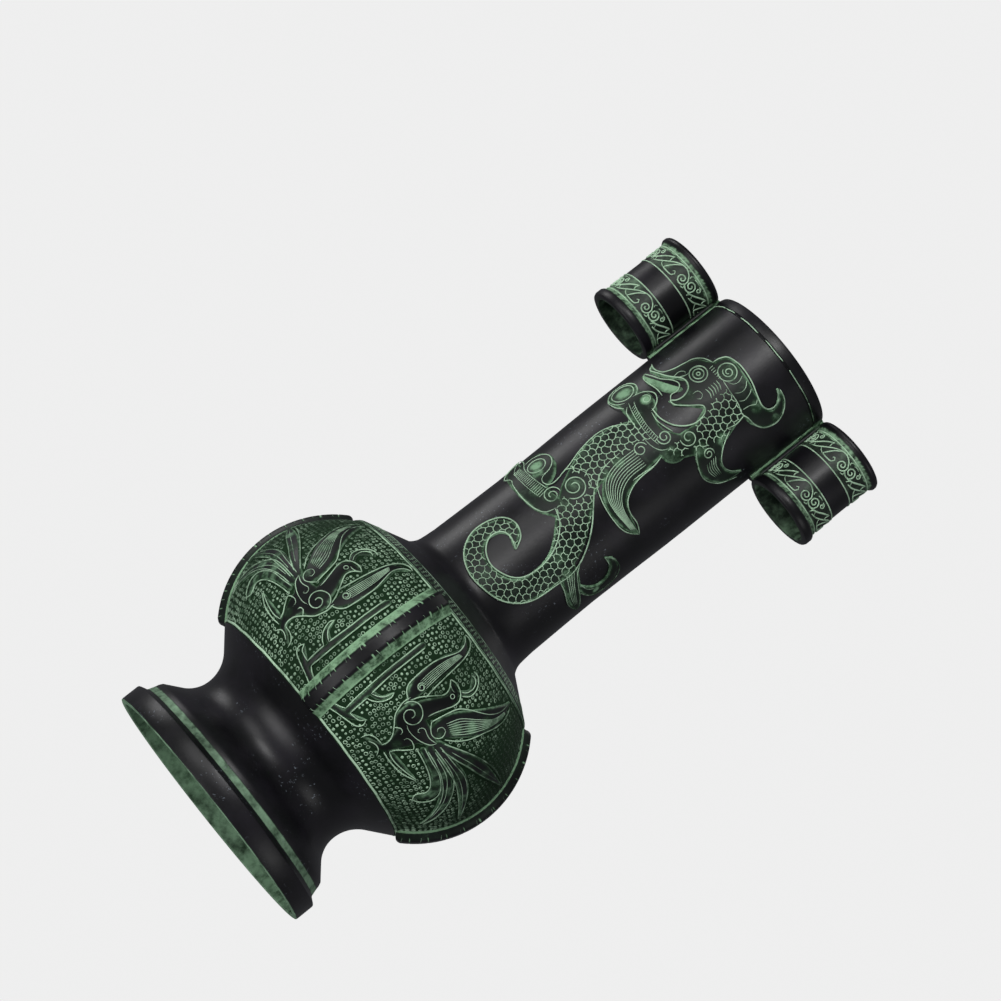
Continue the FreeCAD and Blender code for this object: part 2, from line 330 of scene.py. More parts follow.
# --------------------------------------------------------------------------
class Skin:
    """A part of the vase's surface that ornament is laid out on, flat."""

    axis: float = 0.0

    def place(self, flat: Rows) -> Placed:
        """Finds where flat points lie round the skin's axis.

        Args:
            flat: rows of across, up and lift.

        Returns:
            Their turns in radians, their distances from the axis, and their
            heights.
        """
        raise NotImplementedError

    def wrap(self, flat: Rows) -> Rows:
        """Places flat points on the surface.

        Args:
            flat: rows of across, up and lift in millimetres, or with across
                in degrees on the shoulder and the ears.

        Returns:
            Rows of x, y and z in millimetres.
        """
        turn, reach, height = self.place(flat)
        return np.stack([self.axis + reach * np.sin(turn), -reach * np.cos(turn), height], 1)

    def wear(self, rows: Rows) -> Rows:
        """How much patina a line on the surface holds, place by place; on the neck and belly it also holds
        painted shade.
        """
        return np.ones(len(rows))


@dataclass
class NeckSkin(Skin):
    """The neck: millimetres round it, measured at one radius."""

    measured_at: float = 43.4
    heights: tuple[float, ...] = (179.8, 182, 186, 191, 215, 235, 265, 285, 300, 337, 393.1)
    radii: tuple[float, ...] = (44.3, 43.8, 43.4, 43.0, 42.5, 42.2, 42.6, 43.0, 43.15, 43.2, 43.5)

    def place(self, flat: Rows) -> Placed:
        """Follows the neck's slight waist, lifted level."""
        reach = np.interp(flat[:, 1], self.heights, self.radii) + flat[:, 2]
        return flat[:, 0] / self.measured_at, reach, flat[:, 1]

    def wear(self, rows: Rows) -> Rows:
        """Lines on the neck's right get less patina than those in front: painted shade on the side turned from
        the lights.
        """
        turn = np.degrees(np.arctan2(rows[:, 0], -rows[:, 1]))
        # Painted shade: the lines' green fades from 22 to 62 degrees right of the front, the side away from the
        # lights.
        return 1 - 0.55 * fade(turn, 22, 40)


@dataclass
class BellySkin(Skin):
    """The belly: millimetres round it at one radius, from the front rib."""

    arc_radius: float = 59.3
    arc_centre: float = 34.9
    middle: float = 114.5
    measured_at: float = 88.0
    ground: float = 0.9

    def radius(self, up: float) -> float:
        """The belly's radius at a height."""
        rise = np.clip(np.array([up]) - self.middle, -self.arc_radius + 1, self.arc_radius - 1)
        return float(self.arc_centre + np.sqrt(self.arc_radius**2 - rise**2)[0])

    def place(self, flat: Rows) -> Placed:
        """Finds where flat points lie, lifted square to the belly.

        Args:
            flat: rows of across, up and lift.

        Returns:
            Their turns, distances from the axis, and heights.
        """
        rise = flat[:, 1] - self.middle
        run = np.sqrt(self.arc_radius**2 - rise**2)
        reach = self.arc_centre + run + flat[:, 2] * run / self.arc_radius
        height = flat[:, 1] + flat[:, 2] * rise / self.arc_radius
        return flat[:, 0] / self.measured_at, reach, height

    def wear(self, rows: Rows) -> Rows:
        """Lines near the front and back ribs and low down hold most patina; toward the side ribs, higher up and
        near the band's top they lose it as painted shade.

        Args:
            rows: places in millimetres.

        Returns:
            A share for each place.
        """
        turn = np.degrees(np.arctan2(np.abs(rows[:, 0]), np.abs(rows[:, 1])))
        # Painted shade: the lines lose green toward the side ribs, more so higher up, and a little near the
        # band's top.
        aside = fade(turn, 34, 34)
        shade_higher = fade(rows[:, 2], 78, 40)
        high = fade(rows[:, 2], 138, 20) * fade(turn, 12, 20)
        return 1 - 0.72 * aside * (0.25 + 0.75 * shade_higher) - 0.18 * high * (1 - aside)


@dataclass
class ShoulderSkin(Skin):
    """The shoulder's cone, from the belly band in to the neck, in degrees."""

    foot: tuple[float, float] = (72.9, 160.6)
    head: tuple[float, float] = (47.6, 174.6)

    def radius(self, up: float) -> float:
        """The cone's radius at a height."""
        run, rise = self.head[0] - self.foot[0], self.head[1] - self.foot[1]
        return self.foot[0] + run * (up - self.foot[1]) / rise

    def place(self, flat: Rows) -> Placed:
        """Finds where flat points lie, lifted square to the cone.

        Args:
            flat: rows of degrees, up and lift.

        Returns:
            Their turns, distances from the axis, and heights.
        """
        run, rise = self.foot[0] - self.head[0], self.head[1] - self.foot[1]
        size = math.hypot(run, rise)
        reach = self.radius(flat[:, 1]) + flat[:, 2] * rise / size
        return np.radians(flat[:, 0]), reach, flat[:, 1] + flat[:, 2] * run / size

    def wear(self, rows: Rows) -> Rows:
        """The shoulder's line is worn thin all round."""
        return np.full(len(rows), 0.55)


@dataclass
class EarSkin(Skin):
    """An ear: degrees round its own axis, from the front."""

    axis: float = 68.4
    radius: float = 21.3

    def place(self, flat: Rows) -> Placed:
        """Follows the ear's straight tube."""
        return np.radians(flat[:, 0]), self.radius + flat[:, 2], flat[:, 1]


# --------------------------------------------------------------------------
class Bench:
    """The modelling steps that the sub-assemblies share."""

    weld = partial(bpy.ops.mesh.remove_doubles, threshold=1e-7)
    outward = partial(bpy.ops.mesh.normals_make_consistent, inside=False)

    @staticmethod
    def clear() -> None:
        """Leaves every object unselected."""
        if bpy.context.object and bpy.context.object.mode != "OBJECT":
            bpy.ops.object.mode_set(mode="OBJECT")
        bpy.ops.object.select_all(action="DESELECT")

    @staticmethod
    def pick(piece: Piece) -> Piece:
        """Makes one object the only one selected, and active.

        Args:
            piece: the object.

        Returns:
            The same object.
        """
        Bench.clear()
        piece.select_set(True)
        bpy.context.view_layer.objects.active = piece
        return piece

    @staticmethod
    def named(name: str) -> Piece:
        """Names the object that the last operator added, and its mesh.

        Args:
            name: the new name.

        Returns:
            The object.
        """
        piece = bpy.context.object
        piece.name = name
        piece.data.name = name
        return piece

    @staticmethod
    def copy(piece: Piece, name: str) -> Piece:
        """Copies a piece, and its mesh with it.

        Args:
            piece: the piece.
            name: the copy's name.

        Returns:
            The copy.
        """
        Bench.pick(piece)
        bpy.ops.object.duplicate()
        return Bench.named(name)

    @staticmethod
    def linked(name: str, data: bpy.types.ID) -> Piece:
        """Puts new data into the scene as the active object.

        Args:
            name: the object's name.
            data: its mesh or curve.

        Returns:
            The object.
        """
        piece = bpy.data.objects.new(name, data)
        bpy.context.scene.collection.objects.link(piece)
        return Bench.pick(piece)

    @staticmethod
    def edit(*steps: Callable[[], object]) -> None:
        """Runs steps of edit mode, each on the whole of the active mesh.

        Args:
            steps: the operators, ready to be called.
        """
        bpy.ops.object.mode_set(mode="EDIT")
        for step in steps:
            bpy.ops.mesh.select_all(action="SELECT")
            step()
        bpy.ops.object.mode_set(mode="OBJECT")

    @staticmethod
    def corners(piece: Piece) -> Rows:
        """Reads the object's vertices.

        Args:
            piece: the object.

        Returns:
            Rows of x, y and z in metres.
        """
        flat = np.empty(len(piece.data.vertices) * 3)
        piece.data.vertices.foreach_get("co", flat)
        return flat.reshape(-1, 3)

    @staticmethod
    def measured(piece: Piece) -> Placed:
        """The vertices in millimetres, with their distance from the axis and height."""
        rows = Bench.corners(piece) / MM
        return rows, np.hypot(rows[:, 0], rows[:, 1]), rows[:, 2]

    @staticmethod
    def move(piece: Piece, rows: Rows) -> None:
        """Moves the object's vertices to new places."""
        piece.data.vertices.foreach_set("co", np.ascontiguousarray(rows, dtype=float).ravel())
        piece.data.update()

    @staticmethod
    def weather(piece: Piece, values: Rows) -> None:
        """Writes how much patina each vertex holds; on the neck's and belly's lines the share also holds
        painted shade.

        Args:
            piece: the object.
            values: a share for each vertex, from nought to one.
        """
        layer = piece.data.attributes.get("patina")
        if layer is None:
            layer = piece.data.attributes.new("patina", "FLOAT", "POINT")
        layer.data.foreach_set("value", np.ascontiguousarray(np.clip(values, 0, 1), dtype=np.float32))

    @staticmethod
    def worn(piece: Piece) -> Rows:
        """Reads how much patina each vertex holds.

        Args:
            piece: the object.

        Returns:
            A share for each vertex.
        """
        held = np.empty(len(piece.data.vertices), np.float32)
        piece.data.attributes["patina"].data.foreach_get("value", held)
        return held

    @staticmethod
    def spin(name: str, section: Points, steps: int = 256) -> Piece:
        """Turns a closed section round the vase's axis.

        Args:
            name: the piece's name.
            section: radius and height of each corner, in millimetres.
            steps: how many faces go round.

        Returns:
            The closed piece.
        """
        Bench.clear()
        bpy.ops.mesh.primitive_circle_add(vertices=len(section), radius=0.01)
        piece = Bench.named(name)
        Bench.move(piece, np.array([(r, 0.0, z) for r, z in section]) * MM)
        Bench.edit(
            partial(bpy.ops.mesh.spin, steps=steps, angle=2 * math.pi, center=(0, 0, 0), axis=(0, 0, 1)),
            partial(bpy.ops.mesh.remove_doubles, threshold=1e-6),
            partial(bpy.ops.mesh.delete_loose, use_verts=True, use_edges=True, use_faces=False),
            Bench.outward,
        )
        return piece

    @staticmethod
    def smooth(piece: Piece, angle: float = 40.0) -> None:
        """Shades a piece smooth up to an angle between faces."""
        Bench.pick(piece)
        bpy.ops.object.shade_smooth_by_angle(angle=math.radians(angle))

    @staticmethod
    def apply(piece: Piece, kind: str, **settings: object) -> None:
        """Adds a modifier and applies it.

        Args:
            piece: the object.
            kind: the modifier's type.
            settings: the modifier's own properties.
        """
        Bench.pick(piece)
        bpy.ops.object.modifier_add(type=kind)
        modifier = piece.modifiers[-1]
        for key, value in settings.items():
            setattr(modifier, key, value)
        bpy.ops.object.modifier_apply(modifier=modifier.name)

    @staticmethod
    def thread(name: str, skin: Skin, strokes: list["Stroke"], sides: int = 0) -> Piece:
        """Lays carved lines on a surface as thin round threads.

        Args:
            name: the piece's name.
            skin: the surface.
            strokes: the lines.
            sides: rounding of the thread's section.

        Returns:
            The piece, one closed thread for each line.
        """
        data = bpy.data.curves.new(name, "CURVE")
        data.dimensions = "3D"
        data.bevel_depth = MM
        data.bevel_resolution = sides
        data.use_fill_caps = True
        data.resolution_u = 1
        for stroke in strokes:
            rows = skin.wrap(stroke.laid()) * MM
            line = data.splines.new("POLY")
            line.points.add(len(rows) - 1)
            line.points.foreach_set("co", np.c_[rows, np.ones(len(rows))].ravel())
            line.points.foreach_set("radius", stroke.widths())
            line.use_cyclic_u = stroke.closed
        Bench.linked(name, data)
        bpy.ops.object.convert(target="MESH")
        piece = bpy.context.object
        Bench.edit(Bench.weld)
        # On the neck and belly this share also holds painted shade on the side turned from the lights.
        Bench.weather(piece, skin.wear(Bench.corners(piece) / MM))
        return piece

    @staticmethod
    def finish(piece: Piece, finish: Finish) -> None:
        """Gives a piece its finish and its place in the frame.

        Args:
            piece: the object.
            finish: its finish.
        """
        piece.data.materials.clear()
        piece.data.materials.append(finish.material())
        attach(piece, BODY)
        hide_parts(NODE)


@dataclass
class Stroke:
    """A carved line through flat points, which may hold a lift of their own."""

    points: Points
    half: float = 0.34
    lift: float = 0.0
    closed: bool = False
    smooth: bool = True
    step: float = 1.1

    def laid(self) -> Rows:
        """The line's flat points.

        Returns:
            Rows of across, up and lift.
        """
        points = self.points
        if len(points) > 2 and self.smooth:
            points = flowing(points, self.step, self.closed)
        rows = np.array(points, float)
        if rows.shape[1] == 3:
            return rows
        return np.c_[rows, np.full(len(rows), self.lift)]

    def widths(self) -> Rows:
        """Thins the thread at both ends of an open line.

        Returns:
            The thread's half width at each point.
        """
        count = len(self.laid())
        if self.closed or count < 4:
            return np.full(count, self.half, np.float32)
        ends = np.minimum(np.arange(count), np.arange(count)[::-1])
        return (self.half * np.clip(0.55 + 0.25 * ends, 0, 1)).astype(np.float32)


def spiral(x: float, y: float, start: float, end: float, first: float, turns: float, count: int = 16) -> Points:
    """Points of a spiral.

    Args:
        x: its centre, across.
        y: its centre, up.
        start: its radius at the start.
        end: its radius at the end.
        first: the direction of its start, in degrees.
        turns: how often it goes round, below nought the other way.
        count: points to a turn.

    Returns:
        The points from start to end.
    """
    steps = max(4, int(abs(turns) * count))
    made = []
    for k in range(steps + 1):
        t = k / steps
        angle = math.radians(first + 360 * turns * t)
        reach = start + (end - start) * t
        made.append((x + reach * math.cos(angle), y + reach * math.sin(angle)))
    return made


def flowing(points: Points, step: float, closed: bool = False) -> Points:
    """A smooth line through points.

    Args:
        points: the points, of any number of values each.
        step: how far apart the new points are.
        closed: whether the line comes back to its start.

    Returns:
        The new points.
    """
    rows = [np.array(point, float) for point in points]
    if closed:
        ring = [rows[-1], *rows, rows[0], rows[1]]
    else:
        ring = [2 * rows[0] - rows[1], *rows, 2 * rows[-1] - rows[-2]]
    laid = []
    for a, b, c, d in zip(ring, ring[1:], ring[2:], ring[3:]):
        parts = max(1, int(math.hypot(*(c - b)[:2]) / step + 0.5))
        for k in range(parts):
            t = k / parts
            bend = (c - a) * t + (2 * a - 5 * b + 4 * c - d) * t * t + (3 * b - a - 3 * c + d) * t**3
            laid.append(tuple(0.5 * (2 * b + bend)))
    if not closed:
        laid.append(tuple(rows[-1]))
    return laid


def comb(first: Points, last: Points, count: int) -> list[Points]:
    """Lines that lead from one line over to another.

    Args:
        first: the first line.
        last: the last line, with as many points.
        count: how many lines, the two outer ones left out.

    Returns:
        The lines between them.
    """
    a, b = np.array(first, float), np.array(last, float)
    return [list(map(tuple, a + (b - a) * (k + 1) / (count + 1))) for k in range(count)]


def bent(x: float, z: float, radius: float, first: float, last: float, count: int = 12) -> Points:
    """Points of a round bend in a section.

    Args:
        x: the centre's distance from the axis.
        z: the centre's height.
        radius: the bend's radius.
        first: its first direction in degrees.
        last: its last direction in degrees.
        count: how many stretches it has.

    Returns:
        The points.
    """
    angles = [math.radians(first + (last - first) * k / count) for k in range(count + 1)]
    return [(x + radius * math.cos(angle), z + radius * math.sin(angle)) for angle in angles]


class Shape:
    """A flat shape made of tapered strips and closed outlines."""

    def __init__(self, strips: list[Points], outlines: list[Points]) -> None:
        """Keeps the strips, of across, up and half width, and the outlines."""
        self.strips = [flowing(strip, 3.0) if len(strip) > 2 else strip for strip in strips]
        self.outlines = outlines

    @staticmethod
    def beside(flat: Rows, x: float, y: float, run: float, rise: float) -> tuple[Rows, Rows]:
        """Measures flat points against one straight side.

        Args:
            flat: rows of across and up.
            x: the side's start, across.
            y: the side's start, up.
            run: how far it goes across.
            rise: how far it goes up.

        Returns:
            How far along the side each point lies, from nought to one, and
            how far away from it.
        """
        along = ((flat[:, 0] - x) * run + (flat[:, 1] - y) * rise) / (run * run + rise * rise)
        along = np.clip(along, 0, 1)
        return along, np.hypot(flat[:, 0] - x - run * along, flat[:, 1] - y - rise * along)

    def depth(self, flat: Rows) -> Rows:
        """How far flat points lie inside the shape.

        Args:
            flat: rows of across and up.

        Returns:
            The depth in millimetres, below nought outside.
        """
        best = np.full(len(flat), -1e3)
        for strip in self.strips:
            for (x0, y0, w0), (x1, y1, w1) in zip(strip, strip[1:]):
                along, away = self.beside(flat, x0, y0, x1 - x0, y1 - y0)
                best = np.maximum(best, w0 + (w1 - w0) * along - away)
        for outline in self.outlines:
            inside = np.zeros(len(flat), bool)
            near = np.full(len(flat), 1e3)
            for (x0, y0), (x1, y1) in zip(outline, outline[1:] + outline[:1]):
                run, rise = x1 - x0, y1 - y0
                near = np.minimum(near, self.beside(flat, x0, y0, run, rise)[1])
                crosses = (y0 > flat[:, 1]) != (y1 > flat[:, 1])
                inside ^= crosses & (flat[:, 0] < run * (flat[:, 1] - y0) / (rise if rise else 1e-9) + x0)
            best = np.maximum(best, np.where(inside, near, -near))
        return best


@dataclass
class Relief:
    """A raised figure on a surface: flat on top, with soft sloping sides."""

    name: str
    skin: Skin
    shape: Shape
    left: float
    right: float
    foot: float
    head: float
    proud: float = 1.0
    base: float = 0.0
    root: float = 0.5
    crown: float = 0.35
    crown_run: float = 3.0
    spacing: float = 0.6
    slope: float = 0.9
    wall: float = 1.0
    film: float = 0.14
    edge_green: float = 0.5
    edge_run: float = 1.1
    side_green: float = 0.62
    stains: Points = field(default_factory=list)

    def build(self) -> Piece:
        """Models the figure.

        Returns:
            A closed piece that stands out of the surface.
        """
        wide, tall = self.right - self.left, self.head - self.foot
        Bench.clear()
        bpy.ops.mesh.primitive_grid_add(
            x_subdivisions=int(wide / self.spacing),
            y_subdivisions=int(tall / self.spacing),
            size=1,
            location=(0, 0, 0),
        )
        piece = Bench.named(self.name)
        rows = Bench.corners(piece)
        across = (self.left + self.right) / 2 + rows[:, 0] * wide
        flat = np.c_[across, (self.foot + self.head) / 2 + rows[:, 1] * tall]
        depth = self.shape.depth(flat)
        step = np.clip(depth / self.slope + 0.5, 0, 1)
        step = step * step * (3 - 2 * step)
        dome = self.crown * (1 - np.exp(-np.clip(depth, 0, 12) / self.crown_run))
        lift = self.base + (self.proud + self.root) * step - self.root + dome
        Bench.move(piece, np.c_[flat, lift])
        Bench.weather(piece, self.green(flat, depth))
        self.trim(piece, depth)
        Bench.move(piece, self.skin.wrap(Bench.corners(piece)) * MM)
        Bench.apply(piece, "SOLIDIFY", thickness=self.wall * MM, offset=-1.0)
        Bench.smooth(piece, 50)
        return piece

    def green(self, flat: Rows, depth: Rows) -> Rows:
        """The patina: a film on top, more at the edges and in the stains.

        Args:
            flat: rows of across and up.
            depth: how far each of them lies inside the figure.

        Returns:
            A share for each row.
        """
        edge = self.edge_green * np.exp(-((depth / self.edge_run) ** 2))
        green = np.where(depth > 0, self.film + edge, self.side_green)
        for across, up, size, share in self.stains:
            away = np.hypot(flat[:, 0] - across, flat[:, 1] - up) / size
            green = np.maximum(green, share * np.clip(1.6 - away, 0, 1))
        return green

    def trim(self, piece: Piece, depth: Rows) -> None:
        """Deletes the grid's faces that lie outside the figure.

        Args:
            piece: the grid.
            depth: how far each vertex lies inside the figure.
        """
        far = set(np.flatnonzero(depth < -self.slope).tolist())
        for kind in (piece.data.vertices, piece.data.edges):
            kind.foreach_set("select", [False] * len(kind))
        for face in piece.data.polygons:
            face.select = all(v in far for v in face.vertices)
        bpy.ops.object.mode_set(mode="EDIT")
        bpy.ops.mesh.select_mode(type="FACE")
        bpy.ops.mesh.delete(type="FACE")
        bpy.ops.mesh.select_mode(type="VERT")
        bpy.ops.object.mode_set(mode="OBJECT")


# --------------------------------------------------------------------------
# The animal on the neck: strips of (round the neck, height, half width).
ANIMAL_STRIPS: list[Points] = [
    [(-4, 306.8, 10), (-9, 295.8, 13), (-12, 281.8, 12), (-10, 269.8, 10), (-4, 257.8, 9.5),
     (5, 247.8, 9.5), (14, 237.8, 8.8), (20, 226.8, 7.8), (21.5, 212.8, 6.9), (18, 199.3, 6.8),
     (8.5, 192, 6.3), (-4, 190, 5.8), (-15, 194.3, 5.5), (-20, 203.8, 5), (-17.5, 213.8, 4.2),
     (-10, 217.8, 3.5), (-1.5, 212.3, 0.4)],
    [(2, 304.8, 7), (2.5, 291.8, 8), (5, 279.8, 8), (12, 271.8, 6.5), (22, 269.8, 4.8),
     (31, 270.8, 2.5), (36.5, 272.3, 0.4)],
    [(-5, 243.8, 5), (-14, 241.3, 7), (-28, 241.3, 7.2), (-40, 241.8, 6), (-48, 243.8, 4.6),
     (-56, 249.8, 0.4)],
    [(-22, 246.8, 4), (-28, 251.8, 8), (-35, 253.3, 9.8), (-42, 252.8, 7), (-46.5, 250.8, 0.4)],
    [(24, 229.8, 4), (33, 226.8, 5.5), (43, 224.3, 4.5), (50, 223.3, 3), (55, 222.3, 0.4)],
    [(41, 229.3, 1.5), (48, 232.8, 3), (52.5, 238.8, 3.6), (51.5, 246.8, 3.2), (45, 251.8, 2.8),
     (39, 251.8, 1.8), (35.5, 249.8, 0.4)],
    [(-6, 364.8, 7.5), (5, 364.3, 7), (15, 363.3, 6.3), (24, 363.8, 6), (30.5, 368.8, 4.5),
     (30, 375.8, 3), (25, 380.3, 1.6), (19.5, 381.6, 0.4)],
    [(17, 333.8, 8), (23, 330.3, 8.5), (31, 326.3, 6.8), (39, 328.3, 5), (45, 333.3, 3),
     (48.5, 341.3, 0.4)],
    [(9, 314.8, 8.5), (0, 311.3, 6), (-10, 311.8, 6.2), (-18, 315.3, 8.2), (-24, 316.8, 9),
     (-30, 315.3, 7), (-37, 316.3, 8.5), (-42.5, 316.8, 5.5), (-46, 316.8, 0.4)],
    [(-38.5, 331.4, 0.8), (-31, 331.6, 2.0), (-24, 333.2, 2.6), (-18, 335.6, 2.6), (-14, 339.4, 1.2)],
]
# Where the animal holds thick pale patina: place, size and strength.
ANIMAL_STAINS: Points = [
    (-36, 332, 3.6, 0.8), (-31, 332, 4, 0.84), (-26, 333, 4, 0.86), (-21, 334.5, 4, 0.86),
    (-17, 337, 3.6, 0.84),
    (-36.5, 316.2, 5, 0.8), (-22, 321.5, 3.2, 0.85), (-35, 253, 4, 0.85), (-30, 250, 4, 0.7),
    (51, 237, 2.4, 0.85), (24, 378, 2.2, 0.85), (26, 373, 2, 0.7), (33, 270, 3, 0.6), (-12, 326, 6, 0.62),
    (-3, 324, 5, 0.58), (-8, 340, 5, 0.5), (-3, 286, 4, 0.5), (-1, 277, 4, 0.5), (8, 268, 4, 0.5),
    (28, 227, 4, 0.55), (40, 221, 3, 0.5), (-4, 249, 5, 0.5), (19, 326, 5, 0.55), (22, 340, 4, 0.55),
    (9, 325, 5, 0.5), (-4, 365, 6, 0.5), (-14, 352, 4, 0.45), (-32, 323, 5, 0.55), (-12, 247, 6, 0.5),
    (-8, 259, 6, 0.45), (12, 312, 6, 0.5), (-16, 310, 5, 0.5), (20, 366, 4, 0.5), (32, 372, 3, 0.5),
    (-20, 243, 5, 0.45), (-10, 213, 4, 0.5), (18, 230, 5, 0.4), (0, 190, 5, 0.4),
]
ANIMAL_HEAD: Points = [
    (-43, 340.3), (-36, 339), (-30.5, 340.8), (-27, 345.8), (-25.5, 351.8), (-22, 358.8),
    (-15, 362.8), (-6, 369.8), (6, 370.8), (15, 367.8), (20, 358.8), (21, 351.8), (24.5, 341.8),
    (21.5, 325.8), (17, 315.8), (9, 307.8), (1, 305.8), (1, 314.8), (5.5, 322.8), (6.5, 332.8),
    (3, 341.8), (-3, 336.3), (-9, 330.3), (-13, 329.8), (-9.5, 335.8), (-11, 342.3),
    (-16, 344.8), (-23, 340.3), (-30, 336.8), (-38, 335.8),
]
ANIMAL_LINES: list[Points] = [
    # Snout, brow and crest.
    [(-43, 340.5), (-39, 339), (-35, 338.6), (-30, 340), (-27, 345), (-25.3, 351), (-23.5, 357),
     (-19.5, 361), (-14, 363)],
    [(-14, 363), (-13.5, 367), (-11, 371), (-5, 372.8), (0, 373), (8, 372), (15, 370), (21, 369),
     (25, 370.5), (26.5, 374), (25, 378.5), (20, 381.2)],
    [(-3, 360), (5, 359), (12, 358.5), (18, 357), (22, 358.5), (28, 360), (33, 364), (35.2, 371),
     (33, 377), (27, 381.5), (20.5, 382.5)],
    [(6, 359.5), (8.5, 363.5), (8, 367.5), (5.5, 370)],
    [(11, 359), (13, 362.5), (12, 367), (10.5, 369.5)],
    [(16.5, 358.5), (17, 363), (18.5, 366.5), (17, 368.5)],
    [(-1, 361), (2.5, 363), (3.4, 366.5), (2, 370)],
    # Cheek, nostril and lips.
    [(-22.5, 342), (-22.6, 346), (-20.5, 348.2), (-19, 347.5)],
    [(-20, 343.5), (-18, 348), (-18.6, 353), (-15.5, 357.5)],
    [(-41, 339.5), (-38.5, 336.6), (-33, 337.6), (-27, 339.3), (-22.5, 341.6), (-18.5, 344.4),
     (-14.5, 344.8), (-11, 342.7), (-9.3, 338), (-10, 333.5), (-12, 330.8), (-8.5, 331),
     (-3.5, 336.4), (-0.5, 340.5), (2, 342.6), (5.2, 340.5), (6.3, 334), (4.5, 328.5),
     (1.5, 324.5), (-2, 321.8), (-8, 319.8), (-15, 320.2)],
    [(-7, 342), (-6.6, 345.5), (-3.5, 346.2), (-2.2, 343.8), (-4, 342)],
    [(-12, 330.8), (-14.5, 333.5), (-14, 337.5), (-16.5, 341), (-21, 340), (-27, 336.2),
     (-33, 334.5), (-39, 333)],
    [(-17.5, 329.5), (-22.5, 330.2), (-29, 329.8), (-35, 330), (-39, 332.8)],
    # Mane's horn.
    [(21, 346), (24, 341), (28, 336.2), (33, 333), (38, 333), (43, 336), (48.3, 341.3)],
    [(19, 324), (22, 321.8), (30, 319.3), (36, 320), (42, 324), (46, 329), (50, 337.5)],
    [(19, 345), (20.5, 351), (19.5, 357.5)],
    # Jaw, with the curl over the tongue.
    [(-29.5, 317.5), (-28.8, 321), (-26.5, 325), (-22, 327.6), (-17.5, 326), (-14.8, 322), (-14.2, 319)],
    [(-27, 316.6), (-20, 313.9), (-10, 311.8), (-3, 311.6), (1, 312.2)],
    [(-28, 313.8), (-20, 310.8), (-10, 308.7), (-2, 308.6), (3, 309.6)],
    [(-13.5, 318.6), (-8, 317.6), (-2.5, 318.6), (2, 320.2)],
    [(-26, 311.4), (-22.5, 308.4), (-15, 306.8), (-6, 305.6), (1, 305.9), (6, 308.5), (8.3, 313)],
    [(-43, 309.5), (-38, 306.6), (-31, 307), (-26.5, 309.5)],
    # Body's left edge, and the throat down to the fin.
    [(-15.5, 305.5), (-20.5, 300), (-24, 292.5), (-24.6, 285), (-23, 275), (-20, 265.5), (-18.2, 257.5)],
    [(9, 306.5), (10.3, 300), (9.6, 292), (9.4, 286)],
    [(-6.6, 292), (-6.4, 283), (-4.6, 275), (0, 268.8), (7, 265.8), (15, 264.5), (25, 265), (31.5, 267.6),
     (36.8, 272.6)],
    [(36.8, 272.8), (30, 274.6), (22.5, 274.4), (16.5, 277), (12.5, 283), (10.8, 290), (10.6, 300)],
    [(-19.5, 261.5), (-16.5, 266), (-10, 268.8), (-4.5, 267.8), (-1.5, 265.8)],
    # Hind body, and the rolled tail.
    [(0.5, 266), (8, 259.3), (15, 253), (22, 245), (27.6, 236), (29.6, 228), (28.9, 218), (28.3, 210),
     (27, 203), (23, 195.5), (15, 188.3), (5, 184.9), (-5, 184.2), (-15, 188), (-22, 195),
     (-25.2, 203), (-24.3, 212), (-20, 219), (-12.5, 221.8), (-5, 219.2), (-0.8, 212.6)],
    [(-5.5, 243.5), (2, 240.6), (8.5, 234.5), (13, 226.5), (14.9, 218), (14, 208), (10, 201.5),
     (3.2, 197.6), (-3.5, 196.6), (-10, 199.2), (-14.6, 204.2), (-15.4, 209.4), (-12.8, 213.6),
     (-8, 214.6), (-3.5, 213.4), (-0.8, 212.2)],
    # Foreleg, paw and the knob on the knee.
    [(-45, 235.4), (-40, 237.8), (-35, 236.2), (-27, 234.6), (-20, 234.1), (-12.5, 234.9), (-7, 237.8),
     (-4.8, 243.6)],
    [(-17.5, 247.4), (-24, 246.6), (-32, 246.4), (-40, 247.4), (-47, 250.6), (-56, 251.4)],
    [(-16, 241), (-26, 240.3), (-36, 240.8), (-43, 242), (-49.5, 245.6), (-56.4, 250.8)],
    [(-45, 235.4), (-49.5, 238.5), (-53, 243.5), (-56.4, 250)],
    [(-26, 256.5), (-25, 250.5), (-22.3, 248.4), (-19, 249.2), (-17.4, 252.2), (-18, 257.8)],
    # Hind fin and hooked claw.
    [(28.2, 235.4), (33, 231), (40, 228.4), (46, 227), (52.5, 225.2), (55.5, 222.6)],
    [(25.2, 222.2), (30, 221), (35, 220.6), (40, 219.6), (45, 218.8), (50, 219.8), (55.2, 222.2)],
    [(35.2, 249.6), (38, 252.4), (42, 254.2), (48.5, 254.4), (54, 250.6), (56.6, 244), (55.3, 236.5),
     (51, 231.5), (45, 228)],
    [(35.2, 249.4), (40, 249.8), (45, 248.6), (48.8, 245.4), (50.2, 240.5), (49, 236), (45.6, 232.4),
     (40.5, 230.4)],
]
ANIMAL_FANS: list[tuple[Points, Points, int]] = [
    # Striations of the breast fin, hind fin, mane and brow.
    ([(-4.5, 297), (-4.4, 284), (-1.4, 274.5), (6, 269), (16, 267.2), (31, 269.2)],
     [(8.6, 297), (8.5, 287), (10.6, 280.5), (14.6, 275.4), (21, 272.6), (33, 272.4)], 8),
    ([(28, 224.5), (35, 222.6), (43, 221), (50, 221.4)],
     [(30, 232), (35.5, 228.6), (43, 226), (50, 224.2)], 4),
    ([(28.5, 323.4), (33, 322.6), (38.5, 324.8)], [(27.5, 333), (32.5, 330.6), (39, 330.6)], 5),
    ([(-4.6, 359), (-1.8, 358.8), (0.8, 357.6)], [(-4.6, 347.5), (-1.6, 348), (1.2, 347)], 5),
]
